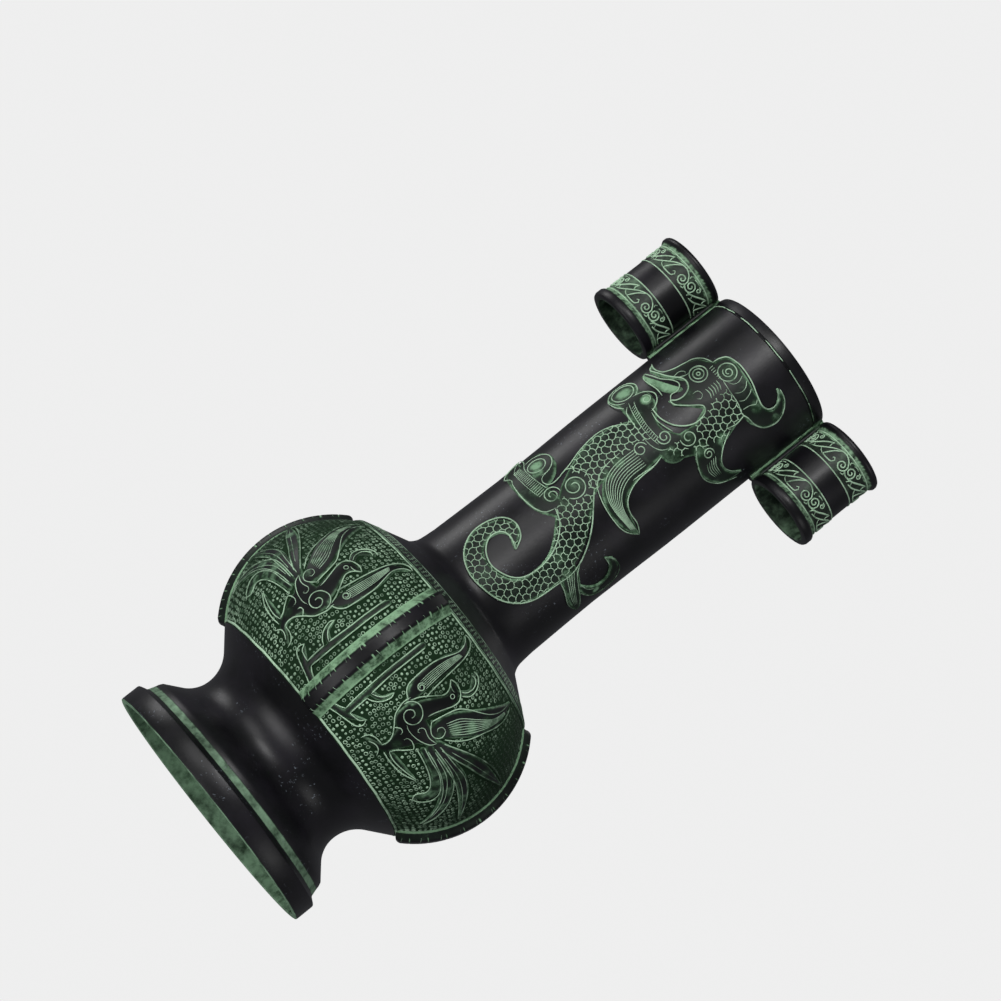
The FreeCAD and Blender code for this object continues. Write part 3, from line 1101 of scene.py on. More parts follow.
# Rounds and rolls of the animal: place, first and last radius, direction, turns.
ANIMAL_ROLLS: Points = [
    (-4.5, 365, 5.2, 5.2, 0, 1), (-4.2, 365.4, 3.2, 0.9, 200, 1.4), (-14, 352.5, 5.0, 5.0, 0, 1),
    (-14, 352.5, 3.1, 3.1, 0, 1), (-14, 352.5, 1.0, 1.0, 0, 1), (-37, 316, 6.6, 6.6, 0, 1),
    (1.6, 314.6, 4.3, 1.0, 250, 1.6), (10, 325, 5.0, 1.4, 250, 1.3), (24, 329, 3.4, 0.9, 60, 1.5),
    (-1, 300, 4.2, 1.3, 90, 1.3), (-8, 259, 7.2, 1.6, -60, 1.7), (-12, 246.8, 5.2, 1.2, 80, 1.6),
    (-35, 253, 5.4, 5.4, 0, 1), (-22, 321.8, 3.2, 1.0, 180, -1.1),
]
# The neck's scaled skin above the fin, and rounds on the body that bear no scales.
ANIMAL_THROAT: Points = [
    (2, 359), (19, 357.5), (20, 350), (22.5, 341), (20.5, 333), (19, 325), (15.5, 316),
    (10, 309), (7.5, 314), (7.5, 330), (5.8, 341), (3, 347),
]
ANIMAL_BARE: list[Points] = [
    [(-1, 300, 4.8), (-1, 300.1, 4.8)], [(-8, 259, 8), (-8, 259.1, 8)],
    [(-12, 247, 6.2), (-12, 247.1, 6.2)], [(10, 325, 5.6), (10, 325.1, 5.6)],
]
ANIMAL_FIN: Points = [(2, 304.8, 5), (2.5, 291.8, 7), (5, 279.8, 8), (12, 271.8, 6.5)]


@dataclass
class Animal:
    """The scaled animal that winds up the front of the neck."""

    skin: Skin
    top: float = 1.05
    ridge: float = 0.2
    outline: float = 0.42
    inner_line: float = 0.33
    roll_line: float = 0.34
    fan_line: float = 0.24
    tick_line: float = 0.2
    scale_line: float = 0.26
    tail_scale_line: float = 0.22
    scale: float = 2.45
    throat_foot: float = 309.5
    tail_head: float = 222.0

    def build(self) -> None:
        """Models and dresses the figure, its lines and its scales."""
        shape = Shape(ANIMAL_STRIPS, [ANIMAL_HEAD])
        figure = Relief("animal", self.skin, shape, -60, 60, 182.5, 385, crown=0.3,
                        spacing=0.62, film=0.25, stains=ANIMAL_STAINS).build()
        Bench.finish(figure, CARVED_BLACK)
        Bench.finish(Bench.thread("animal_lines", self.skin, self.lines()), PALE_THREAD)
        Bench.finish(Bench.thread("animal_scales", self.skin, self.scales()), PALE_THREAD)

    def ticks(self, x: float, gap: float, lean: float, heads: list[float], feet: list[float]) -> list[Stroke]:
        """A row of short ticks.

        Args:
            x: the first tick's place across.
            gap: how far apart they stand.
            lean: how far a tick's foot stands aside.
            heads: the height of each tick's head.
            feet: the height of each tick's foot.

        Returns:
            The strokes.
        """
        return [Stroke([(x + gap * k, head), (x + gap * k + lean, foot)], self.tick_line, self.top + self.ridge)
                for k, (head, foot) in enumerate(zip(heads, feet))]

    def lines(self) -> list[Stroke]:
        """The carved lines.

        Returns:
            The strokes, lifted to the figure's top.
        """
        strokes = [Stroke(line, self.outline if len(line) > 9 else self.inner_line, self.top)
                   for line in ANIMAL_LINES]
        for first, last, count in ANIMAL_FANS:
            strokes += [Stroke(line, self.fan_line, self.top + 0.25) for line in comb(first, last, count)]
        for roll in ANIMAL_ROLLS:
            closed = roll[2] == roll[3]
            points = spiral(*roll)
            points = points[:-1] if closed else points
            strokes.append(Stroke(points, self.roll_line, self.top + self.ridge, closed))
        # Open arcs round the paws' knobs.
        for arc in ((-37, 316, 8.7, 8.7, 20, 0.88), (-35, 253, 9.2, 9.2, -20, 0.62)):
            strokes.append(Stroke(spiral(*arc), self.roll_line, self.top))
        # Ticks between the double lines of jaw and foreleg, and on the brow.
        jaw = [314.9 - 3.1 * min(1.0, k / 9.0) for k in range(17)]
        strokes += self.ticks(-23.5, 1.45, 0.7, jaw, [head - 2.7 for head in jaw])
        strokes += self.ticks(-43.5, 1.5, 0.6, [246.3] * 19, [241.2] * 19)
        strokes += self.ticks(-12.4, 1.5, 0.2, [361.6 - 0.2 * k for k in range(6)], [358.9] * 6)
        return strokes

    def scales(self) -> list[Stroke]:
        """The scales, as cells that share their sides.

        Returns:
            One short bowed stroke for each side of a scale.
        """
        spots, sides = self.cells()
        body, fin = Shape([ANIMAL_STRIPS[0]], []), Shape([ANIMAL_FIN], [])
        throat, bare = Shape([], [ANIMAL_THROAT]), Shape(ANIMAL_BARE, [])

        def held(spot: tuple[float, float]) -> float:
            """How deep a spot lies in the scaled skin.

            Args:
                spot: its place across and up.

            Returns:
                The depth in millimetres, below nought outside.
            """
            here = np.array([spot])
            if spot[1] > self.throat_foot:
                return min(throat.depth(here)[0], -bare.depth(here)[0])
            return min(body.depth(here)[0], -fin.depth(here)[0], -bare.depth(here)[0])

        depths = {key: held(spot) for key, spot in spots.items()}
        strokes = []
        for first, last in sides:
            if depths[first] < depths[last]:
                first, last = last, first
            if depths[first] < 0.4:
                continue
            (x0, y0), (x1, y1) = spots[first], spots[last]
            # A side that leaves the skin ends at its edge.
            share = depths[first] / (depths[first] - depths[last]) if depths[last] < 0 else 1.0
            x1, y1 = x0 + (x1 - x0) * share, y0 + (y1 - y0) * share
            size = math.hypot(x1 - x0, y1 - y0)
            if size < 0.5:
                continue
            bow = 0.12 * size
            middle = ((x0 + x1) / 2 + bow * (y1 - y0) / size, (y0 + y1) / 2 - bow * (x1 - x0) / size)
            half = self.tail_scale_line if y0 < self.tail_head else self.scale_line
            strokes.append(Stroke([(x0, y0), middle, (x1, y1)], half, 1.28, smooth=False))
        return strokes

    def cells(self) -> tuple[dict[Key, tuple[float, float]], list[tuple[Key, Key]]]:
        """Six-sided cells over the whole neck, each corner a little off its place.

        Returns:
            The corners by key, and the sides as pairs of keys.
        """
        draw = random.Random(7)
        spots: dict[Key, tuple[float, float]] = {}
        sides: set[tuple[Key, Key]] = set()
        for row in range(50):
            for column in range(20):
                across = -34 + (column + 0.5 * (row % 2)) * self.scale * math.sqrt(3)
                up = 183 + row * self.scale * 1.5
                keys = []
                for x, y in bent(across, up, self.scale, 30, 330, 5):
                    key = (round(x * 5), round(y * 5))
                    if key not in spots:
                        spots[key] = (x + draw.uniform(-0.55, 0.55), y + draw.uniform(-0.5, 0.5))
                    keys.append(key)
                for first, last in zip(keys, keys[1:] + keys[:1]):
                    sides.add((min(first, last), max(first, last)))
        return spots, sorted(sides)


# --------------------------------------------------------------------------
# A bird panel: degrees from the rib and height of each point.
BIRD_STRIPS: list[Points] = [
    [(9.2, 134.5, 1.6), (9.4, 109.5, 1.6), (10.8, 82.3, 1.8)],
    [(5.8, 78.3, 1.7), (12, 80.9, 1.8), (17.3, 86.9, 0.4)],
    [(10.9, 97.5, 1.5), (14.2, 99.4, 1.4), (15.4, 106.8, 0.4)],
    [(20.2, 110.5, 1.8), (18.4, 119.5, 4.4), (18.8, 135.6, 4.6), (20.6, 149.7, 2.8), (17.2, 156.7, 0.4)],
    [(25.0, 103.5, 6.5), (25.8, 113.6, 5.2), (28.8, 126.6, 3.6), (28.4, 131.6, 3.2), (24.0, 134.9, 0.4)],
    [(29.6, 134.1, 1.4), (32.6, 140.7, 1.5), (28.7, 147.2, 0.4)],
    [(21.4, 108.7, 1.6), (27.5, 104.2, 7.5), (38.5, 108.2, 1.2)],
    [(29.4, 100.7, 7.0), (29.4, 89.7, 3.2), (28.5, 85.2, 2.2), (22.2, 81, 0.6)],
    [(33.8, 110.7, 3.4), (36.6, 121.7, 6.8), (46.0, 139.7, 6.4), (53.6, 156.7, 0.6)],
    [(37.0, 101.2, 1.6), (48, 99.7, 2.6), (56.0, 92.2, 2.6), (53.0, 82.5, 0.5)],
    [(37.5, 104.7, 2.0), (55, 101.2, 3.6), (66, 91.5, 2.4), (73, 81, 0.4)],
    [(38.0, 107.7, 2.0), (58, 109.2, 3.4), (78, 99.5, 0.4)],
    [(38.5, 109.7, 2.0), (57, 121.2, 3.6), (78, 128.7, 0.4)],
    [(30.4, 86.4, 1.4), (37, 87.4, 1.5), (46, 89.6, 0.4)],
]
# Where a bird holds thick patina: degrees, height, size and strength.
BIRD_STAINS: Points = [
    (42, 101, 3.6, 0.42), (47, 100, 3.8, 0.48), (51.5, 97.5, 3.6, 0.54), (55, 93, 3.2, 0.56),
    (54.6, 87, 2.8, 0.5),
    (38, 121, 4, 0.5), (42, 129, 4, 0.55), (46, 137, 4, 0.5), (19, 128, 3, 0.4), (36, 113, 3, 0.45),
    (50, 104, 4, 0.5), (58, 101, 4, 0.5), (64, 94, 3.5, 0.5), (52, 117, 4, 0.45), (62, 122, 4, 0.45),
    (54, 109, 4, 0.45), (66, 106, 4, 0.45), (30, 92, 3, 0.4), (25, 110, 2.5, 0.4),
]
BIRD_LINES: list[Points] = [
    # The bar, its upper hook and its foot.
    [(8.2, 134), (8.2, 122), (8.2, 110), (8.5, 100), (9, 90), (9.7, 82.8)],
    [(9.7, 82.8), (8, 81.2), (6, 80)],
    [(10.3, 134), (10.2, 122), (10.2, 110), (10.8, 100), (11, 97.2)],
    [(11, 97.2), (13, 99), (14.4, 101.5), (15.2, 106.6)],
    [(15.2, 106.6), (15.9, 104), (15.5, 100.5), (14.6, 97.6), (13, 95.2), (11.3, 94)],
    [(11.3, 94), (11.6, 88.5), (11.9, 83)],
    [(11.9, 83), (14, 83.5), (16, 84.5), (17, 87.2)],
    [(17, 87.2), (18, 84.5), (17, 81.5), (13, 79.5), (9, 78), (6, 76.6)],
    # The plume.
    [(20, 110.2), (17.6, 111.8), (16, 115), (15.5, 120), (15.4, 127), (15.8, 134), (17.2, 140.5),
     (19, 147), (19.3, 151), (18.5, 154.6), (16.8, 156.6)],
    [(16.8, 157.2), (19, 157.6), (21, 156), (22.1, 152.5), (22.4, 147), (22.2, 140), (22.1, 133),
     (22.3, 124), (22.8, 118)],
    # Neck, beak and crest.
    [(20.3, 111), (21.5, 116), (24, 122), (26, 126.5), (26.2, 129.5), (25.6, 132), (24, 134.6)],
    [(24, 134.9), (26.5, 136), (29.5, 135), (31.4, 132), (31.3, 128), (30, 123), (28.6, 117), (28.2, 113.2)],
    [(30, 135.5), (31.6, 138), (32.4, 142), (31.9, 145), (30.4, 146.4), (28.9, 145.8)],
    [(31.2, 134.6), (33.2, 137.8), (33.9, 142), (33, 146), (31, 148.4), (28.5, 148.2)],
    [(25.6, 132.6), (27, 132), (28.2, 132.4)],
    # Shoulder roll and breast.
    [(19.6, 112), (19.4, 108), (19.8, 105), (21.2, 100.2), (24.4, 96), (26.8, 92.4), (27.8, 88.6),
     (27.5, 85.8)],
    [(20.1, 107), (20.5, 110.2), (22, 112.7), (24, 113.4), (26.5, 111.7), (27.8, 108.3), (27.5, 105),
     (26, 102.8), (24, 102.6), (22.5, 104.3), (22.3, 107), (23.5, 109), (25, 108.4), (25.3, 106.4),
     (24.4, 105.4)],
    [(31.2, 105.6), (30.4, 104.3), (29.7, 105.2), (29.9, 107.1), (31, 108.1), (33, 107.4), (35, 107.4),
     (37.6, 108.8)],
    [(37.6, 108.6), (36.6, 105.6), (34, 103), (31, 101.4), (28, 101), (25.8, 102)],
    [(24.6, 96.2), (26, 98.4), (27.4, 98), (27.7, 96)],
    [(30, 95.6), (30.1, 98), (31.8, 99.1), (34, 98.4), (34.8, 97.2)],
    [(34.8, 97.4), (33.2, 93.2), (31.8, 90.2), (31.2, 86.8)],
    # Claw and back toe.
    [(21.5, 80), (21.9, 83.4), (24, 85.6), (27.2, 86.2)],
    [(24, 81.9), (26, 83.5), (28.2, 83.5), (30.4, 80.9)],
    [(31.2, 86.8), (35, 86.2), (40, 87.4), (46, 90)],
    [(30.4, 84.6), (35, 84.4), (41, 85.8), (46.4, 89.6)],
    # Raised wing.
    [(30.4, 113.4), (31, 118), (31.8, 123), (33.4, 129), (37, 134), (41, 138), (45.2, 142.4), (49.5, 148.8),
     (52.8, 156.4)],
    [(30.4, 113.2), (32, 110.8), (34, 109.3), (36, 110.2), (37, 113), (36, 116.2), (34.1, 116),
     (33.6, 113.6), (34.6, 112.4)],
    [(38.4, 113.4), (41.5, 118), (44.2, 123.4), (46.2, 129), (48, 134.4), (51, 141), (53.6, 148.4),
     (54.4, 155)],
    # Tail feathers.
    [(38.4, 102.9), (44, 102.6), (50, 101.4), (56, 98.6), (61, 94.6), (66, 89.2), (72.6, 81)],
    [(39, 106.6), (48, 107.2), (54, 106.2), (60, 101.8), (65, 96.4), (70, 89), (73.4, 82)],
    [(35, 98.8), (40, 98.3), (46, 97), (51, 94.6), (53.4, 91), (52.6, 86), (54.6, 83.4), (56.4, 82.4)],
    [(36.6, 102.4), (42, 101.6), (49, 101), (55.5, 97.4), (58.4, 92), (57.4, 86.2), (54.2, 82.2)],
    [(39.4, 109.4), (48, 110.6), (56, 111.8), (63, 109.4), (70, 105), (78.2, 99.4)],
    [(40, 105.6), (48, 105.9), (56, 105.8), (63, 103.8), (70, 101.4), (78.2, 99)],
    [(39.6, 112), (46, 118), (52, 122.6), (58, 126), (66, 128.6), (78.2, 129)],
    [(41, 109), (48, 112.8), (54, 116.6), (60, 119.4), (68, 123.6), (78.2, 128.2)],
]
BIRD_FANS: list[tuple[Points, Points, int]] = [
    ([(17, 121), (16.9, 129), (17.6, 138), (19.6, 147)],
     [(21.2, 121), (20.9, 129), (21, 138), (21.5, 148)], 6),
    ([(33.4, 119), (35.4, 127), (41, 134.6), (47, 142), (51, 150)],
     [(39.4, 118), (43.4, 125), (46.6, 133), (49.6, 141), (52.6, 150)], 7),
    ([(42, 103.7), (50, 102.4), (57, 98.2), (62, 93.4), (68.6, 85.4)],
     [(43, 105.8), (51, 105.4), (58, 101.2), (64, 95.4), (69.6, 87.4)], 1),
    ([(44, 110.6), (52, 115), (60, 118.6), (70, 124.4)],
     [(44, 115.4), (52, 121), (60, 125.4), (70, 128.2)], 1),
    ([(44, 106.8), (54, 107.2), (62, 105.2), (71, 101.6)],
     [(44, 109.4), (54, 110.4), (62, 108.4), (71, 103.6)], 1),
]


@dataclass
class Belly:
    """The round belly with its four ribs and four bird panels."""

    skin: BellySkin = field(default_factory=BellySkin)
    inner_radius: float = 55.3
    wall_turn: float = 49.66
    ribs: int = 4
    rib_height: float = 4.05
    rib_top: float = 7.4
    rib_base: float = 17.6
    rib_turn: float = 49.0
    rib_end: float = 3.4
    notch_gap: float = 9.2
    notch_width: float = 0.6
    notch_depth: float = 0.4
    bird_turns: tuple[float, float] = (5.0, 80.0)
    bird_heights: tuple[float, float] = (70.5, 158.6)
    ring_radius: float = 0.84
    ring_thread: float = 0.29
    ring_row: float = 2.62
    ring_gap: float = 2.95
    ring_turns: tuple[float, float] = (5.7, 84.2)
    ring_heights: tuple[float, float] = (71.5, 158.4)
    line_width: float = 0.36
    fan_width: float = 0.22

    def flat(self, rows: Points) -> Points:
        """Turns degrees into millimetres across."""
        unit = math.radians(1) * self.skin.measured_at
        return [(row[0] * unit, *row[1:]) for row in rows]

    def across(self, degrees: float) -> float:
        """Turns one angle into millimetres across."""
        return self.flat([(degrees,)])[0][0]

    def panel(self) -> Shape:
        """The raised shapes of the right front panel."""
        return Shape([self.flat(strip) for strip in BIRD_STRIPS], [])

    def core(self) -> Piece:
        """The belly's wall, its outside at the level of the sunk ground.

        Returns:
            The closed ring.
        """
        arc = self.skin
        outer, inner = (bent(arc.arc_centre, arc.middle, radius, -self.wall_turn, self.wall_turn, 40)
                        for radius in (arc.arc_radius - arc.ground, self.inner_radius))
        section = [(BAND_RADIUS, BAND_FOOT), *outer[1:-1], (BAND_RADIUS, BAND_HEAD), *inner[::-1]]
        piece = Bench.spin("belly_wall", section)
        _, reach, height = Bench.measured(piece)
        out = np.hypot(reach - arc.arc_centre, height - arc.middle)
        Bench.weather(piece, np.where(out > self.inner_radius + 1.7, 1.0, 0.25))
        Bench.smooth(piece)
        return piece

    def bird(self) -> Piece:
        """The right front panel's bird, raised out of the ground.

        Returns:
            The closed piece.
        """
        left, right = (self.across(turn) for turn in self.bird_turns)
        return Relief("bird_1", self.skin, self.panel(), left, right, *self.bird_heights,
                      base=-1.0, crown=0.2, spacing=0.66, stains=self.flat(BIRD_STAINS)).build()

    def bird_lines(self) -> Piece:
        """The carved lines of the right front panel.

        Returns:
            The piece.
        """
        strokes = [Stroke(self.flat(line), self.line_width, -0.06) for line in BIRD_LINES]
        for first, last, count in BIRD_FANS:
            strokes += [Stroke(self.flat(line), self.fan_width, 0.1) for line in comb(first, last, count)]
        strokes.append(Stroke(spiral(self.across(19.3), 119.6, 2.3, 0.8, 90, 1.5), 0.32, 0.12))
        eye = spiral(self.across(28.5), 130, 1.2, 1.2, 0, 1)
        strokes.append(Stroke(eye[:-1], 0.26, 0.1, True))
        return Bench.thread("bird_lines_1", self.skin, strokes)

    def punches(self) -> list[tuple[Rows, list[tuple[int, ...]]]]:
        """The marks of the two punches: a ring, and a flat dot.

        Returns:
            The corners and faces of each.
        """
        ring = partial(bpy.ops.mesh.primitive_torus_add, major_radius=self.ring_radius,
                       minor_radius=self.ring_thread, major_segments=9, minor_segments=3)
        dot = partial(bpy.ops.mesh.primitive_uv_sphere_add, segments=8, ring_count=5, radius=self.ring_radius)
        marks = []
        for add, height in ((ring, 1.0), (dot, 0.45)):
            Bench.clear()
            add()
            sample = bpy.context.object
            faces = [tuple(face.vertices) for face in sample.data.polygons]
            marks.append((Bench.corners(sample) * (1, 1, height), faces))
            bpy.data.objects.remove(sample)
        return marks

    def places(self, draw: random.Random) -> Rows:
        """Where the ground is punched, row above row.

        Args:
            draw: the random draws.

        Returns:
            Rows of across and up, clear of the raised shapes.
        """
        first, last = self.ring_turns
        up, top = self.ring_heights
        places = []
        while up < top:
            girth = self.skin.radius(up) * math.pi / 2
            count = int(girth * 0.88 / self.ring_gap)
            shift = draw.random()
            for column in range(count):
                turn = first + 78.9 * (column + shift) / count
                wave = 0.5 * math.sin(turn * 0.21 + up * 0.13)
                across = self.across(turn) + draw.uniform(-0.5, 0.5)
                places.append((across, up + wave + draw.uniform(-0.45, 0.45)))
            up += self.ring_row
        flat = np.array(places)
        return flat[(self.panel().depth(flat) < -1.2) & (flat[:, 0] < self.across(last))]

    def rings(self) -> Piece:
        """The punched rings of the right front panel's ground.

        Returns:
            One piece with a small ring or dot at each punch.
        """
        draw = random.Random(11)
        flat = self.places(draw)
        ring, dot = self.punches()
        at, faces, held = [], [], 0
        for across, up in flat:
            # The punch filled up more often beside the front rib.
            dots = 0.5 if across < self.across(16) and up > 84 else 0.28
            corners, sides = dot if draw.random() < dots else ring
            size = draw.uniform(0.86, 1.12)
            grown = self.skin.radius(up) / self.skin.measured_at
            at.append(np.c_[corners[:, 0] * size / grown + across, corners[:, 1] * size * 0.92 + up,
                            corners[:, 2] * size - self.skin.ground])
            faces += [tuple(v + held for v in side) for side in sides]
            held += len(corners)
        data = bpy.data.meshes.new("rings_1")
        data.from_pydata((self.skin.wrap(np.concatenate(at)) * MM).tolist(), [], faces)
        piece = Bench.linked("rings_1", data)
        # The rings' green follows the belly's painted shade: dimmer toward the side ribs and up high.
        Bench.weather(piece, 0.76 * self.skin.wear(Bench.corners(piece) / MM))
        bpy.ops.object.shade_smooth()
        return piece

    def rib(self) -> Piece:
        """The front rib, a flange with sloping flanks and small notches.

        Returns:
            The closed piece.
        """
        arc = self.skin
        half, base, high = self.rib_top / 2, self.rib_base / 2, self.rib_height
        section = [(-base, -3.0), (-base, -0.25), (-base + 1.2, 0.1), (-half - 2.4, high - 2.4),
                   (-half - 1.0, high - 1.1), (-half - 0.2, high - 0.35), (-half + 0.6, high - 0.03),
                   (-half + 1.5, high), (-1.2, high)]
        section += [(-x, y) for x, y in section[::-1]]
        Bench.clear()
        bpy.ops.mesh.primitive_circle_add(vertices=len(section), radius=0.01, fill_type="NGON")
        piece = Bench.named("rib_1")
        start = math.radians(-self.rib_turn)
        rows = []
        for across, lift in section:
            reach = arc.arc_radius + lift
            out, rise = arc.arc_centre + reach * math.cos(start), arc.middle + reach * math.sin(start)
            rows.append((across, -out, rise))
        Bench.move(piece, np.array(rows) * MM)
        Bench.edit(partial(bpy.ops.mesh.spin, steps=200, angle=2 * math.radians(self.rib_turn),
                           center=(0, -arc.arc_centre * MM, arc.middle * MM), axis=(1, 0, 0)))
        rows = Bench.corners(piece) / MM
        aside, out, rise = np.abs(rows[:, 0]), -rows[:, 1] - arc.arc_centre, rows[:, 2] - arc.middle
        turn = np.degrees(np.arctan2(rise, out))
        reach = np.hypot(out, rise) - arc.arc_radius
        # Notches cut into both edges of the flat top.
        beat = (turn + self.rib_turn + 2.0) % self.notch_gap
        cut = (beat < self.notch_width) & (np.abs(aside - half) < 1.2) & (reach > 1)
        inward = np.where(cut, self.notch_depth, 0.0)
        # Both ends are rounded down to the belly.
        near = np.clip((self.rib_turn - np.abs(turn)) * arc.arc_radius * math.pi / 180 / self.rib_end, 0, 1)
        inward += np.clip(reach, 0, None) * (1 - np.sqrt(1 - (1 - near) ** 2)) * 0.85
        scale = (arc.arc_radius + reach - inward) / (arc.arc_radius + reach)
        rows[:, 1] = -(arc.arc_centre + out * scale)
        rows[:, 2] = arc.middle + rise * scale
        Bench.move(piece, rows * MM)
        # Green lies on the flanks, thickest at their feet and in the notches.
        waves = 0.09 * np.sin(turn * 0.5) + 0.06 * np.sin(turn * 1.1 + 1)
        flank = fade(aside - half, 0.1, 0.8) * (0.72 + waves)
        Bench.weather(piece, np.where(cut, 1.0, np.where(aside > base - 0.6, 0.95, flank)))
        Bench.edit(Bench.weld, Bench.outward)
        Bench.smooth(piece, 50)
        return piece

    def ticks(self) -> Piece:
        """The pale ticks across both edges of the front rib's top.

        Returns:
            The piece.
        """
        draw = random.Random(5)
        arc, half, high = self.skin, self.rib_top / 2, self.rib_height
        path = ((-1.3, high + 0.02, 0), (-0.3, high - 0.1, 0.2),
                (0.5, high - 0.6, 0.4), (2.0, high - 2.0, 0.7))
        strokes = []
        for side in (-1, 1):
            turn = -self.rib_turn + 3
            while turn < self.rib_turn - 3:
                points = []
                for away, lift, lean in path:
                    angle = math.radians(turn + lean)
                    up = arc.middle + arc.arc_radius * math.sin(angle)
                    reach = arc.arc_centre + (arc.arc_radius + lift) * math.cos(angle)
                    points.append((side * (half + away) * arc.measured_at / reach, up, lift))
                strokes.append(Stroke(points, draw.uniform(0.16, 0.26), smooth=False))
                turn += draw.uniform(8.2, 10.2)
        return Bench.thread("rib_ticks_1", self.skin, strokes)

    def borders(self) -> Piece:
        """The pale lines along the band's foot and head.

        Returns:
            The piece.
        """
        strokes = []
        for height, lift, half in ((70.0, -0.55, 0.75), (159.2, -0.5, 0.6)):
            ring = self.flat([(k * 4.0, height + 0.12 * math.sin(k * 1.7)) for k in range(90)])
            strokes.append(Stroke(ring, half, lift, closed=True, smooth=False))
        return Bench.thread("band_borders", self.skin, strokes, 1)

    @staticmethod
    def mirrored(piece: Piece, name: str, x: int, y: int) -> Piece:
        """A copy of a piece, mirrored across the vase.

        Args:
            piece: the piece.
            name: the copy's name.
            x: -1 to mirror across X.
            y: -1 to mirror across Y.

        Returns:
            The copy, with its own mesh.
        """
        copy = Bench.copy(piece, name)
        Bench.move(copy, Bench.corners(copy) * np.array([x, y, 1]))
        if x * y < 0:
            Bench.edit(bpy.ops.mesh.flip_normals)
        return copy

    def to_ribs(self, first: Piece) -> list[Piece]:
        """Copies the front rib's piece to the other ribs.

        Args:
            first: the piece, whose name ends with 1.

        Returns:
            The piece and its copies, by number.
        """
        made = [first]
        for number in range(2, self.ribs + 1):
            copy = Bench.copy(first, f"{first.name[:-1]}{number}")
            copy.data.transform(Matrix.Rotation(math.radians(90 * (number - 1)), 4, "Z"))
            made.append(copy)
        return made

    def build(self) -> None:
        """Models and dresses the belly; the side ribs are the darker ones."""
        Bench.finish(self.core(), GREEN_GROUND)
        dressed = ((self.bird(), CARVED_BLACK), (self.bird_lines(), PALE_THREAD), (self.rings(), PALE_THREAD))
        for first, finish in dressed:
            copies = [first]
            for number, (x, y) in enumerate(((-1, 1), (1, -1), (-1, -1)), 2):
                copies.append(self.mirrored(first, f"{first.name[:-1]}{number}", x, y))
            for copy in copies:
                Bench.finish(copy, finish)
        for number, rib in enumerate(self.to_ribs(self.rib()), 1):
            if number % 2 == 0:
                held = Bench.worn(rib)
                Bench.weather(rib, np.where(held > 0.94, 0.9, held * 0.3))
            Bench.finish(rib, RIB_BLACK)
        for number, ticks in enumerate(self.to_ribs(self.ticks()), 1):
            Bench.weather(ticks, np.full(len(ticks.data.vertices), 0.8 if number % 2 else 0.55))
            Bench.finish(ticks, PALE_THREAD)
        Bench.finish(self.borders(), PALE_THREAD)


# --------------------------------------------------------------------------
@dataclass
class Foot:
    """The foot, hollow from below, with its flare and the waist above it."""

    ring_radius: float = 75.6
    ring_height: float = 11.8
    step_radius: float = 71.2
    step_height: float = 14.0
    riser_radius: float = 69.8
    riser_height: float = 18.6
    shoulder_radius: float = 68.4
    shoulder_height: float = 22.4
    waist_radius: float = 54.0
    waist_height: float = 43.0
    flare_bend: float = 18.0
    cup_bend: float = 21.5
    cup_turn: float = 131.0
    wall: float = 4.0
    skin_depth: float = 2.2

    def section(self) -> Points:
        """The foot's closed section: outside, floor of the bore, and hollow.

        Returns:
            Radius and height of each corner.
        """
        ring, top, waist, high = self.ring_radius, self.ring_height, self.waist_radius, self.waist_height
        outer = [
            (ring - 0.8, 0), (ring - 0.2, 0.25), (ring, 0.9), (ring, top - 0.9), (ring - 0.25, top - 0.2),
            (ring - 0.9, top + 0.3),
            (self.step_radius + 0.3, self.step_height - 0.25), (self.step_radius - 0.2, self.step_height + 0.5),
            (self.riser_radius + 0.1, self.riser_height - 0.7),
            (self.riser_radius - 0.15, self.riser_height + 0.3),
            (69.3, 20.4), (self.shoulder_radius, self.shoulder_height),
        ]
        outer += bent(waist + self.flare_bend, high, self.flare_bend, 230, 180)
        outer += bent(waist + self.cup_bend, high, self.cup_bend, 180, self.cup_turn)[1:]
        outer += [(BAND_RADIUS - 0.05, BAND_FOOT - 0.05), (BAND_RADIUS, BAND_FOOT)]
        cup = bent(waist + self.cup_bend, high, self.cup_bend + self.wall, self.cup_turn, 171)
        inner = [(BAND_RADIUS - self.wall, BAND_FOOT), *cup, (0, high + self.wall), (0, high)]
        hollow = bent(waist + self.flare_bend, high, self.flare_bend + self.wall, 184, 230)
        hollow += [(ring - self.wall, top), (ring - self.wall, 0.6), (ring - self.wall + 0.5, 0)]
        return [*outer, *inner, *hollow]

    def build(self) -> None:
        """Models and dresses the foot: green on the riser and in the hollow."""
        piece = Bench.spin("foot", self.section())
        _, reach, height = Bench.measured(piece)
        profile = [
            (0, self.ring_radius), (self.ring_height, self.ring_radius), (self.step_height, self.step_radius),
            (self.riser_height, self.riser_radius), (self.shoulder_height, self.shoulder_radius),
            (31, 60), (self.waist_height, self.waist_radius), (57, 59), (BAND_FOOT, BAND_RADIUS),
        ]
        outside = np.interp(height, *zip(*profile))
        inside = reach < outside - self.skin_depth
        green = np.where(inside, np.where(height > self.waist_height + 1, 0.25, 0.7), 0.0)
        riser = between(height, self.step_height - 0.1, self.riser_height - 0.5)
        green = np.where(riser & (reach > outside - self.skin_depth), 0.66, green)
        green = np.where((height < 0.3) & (reach > 70), 0.8, green)
        Bench.weather(piece, green)
        Bench.smooth(piece, 30)
        Bench.finish(piece, SATIN_BLACK)


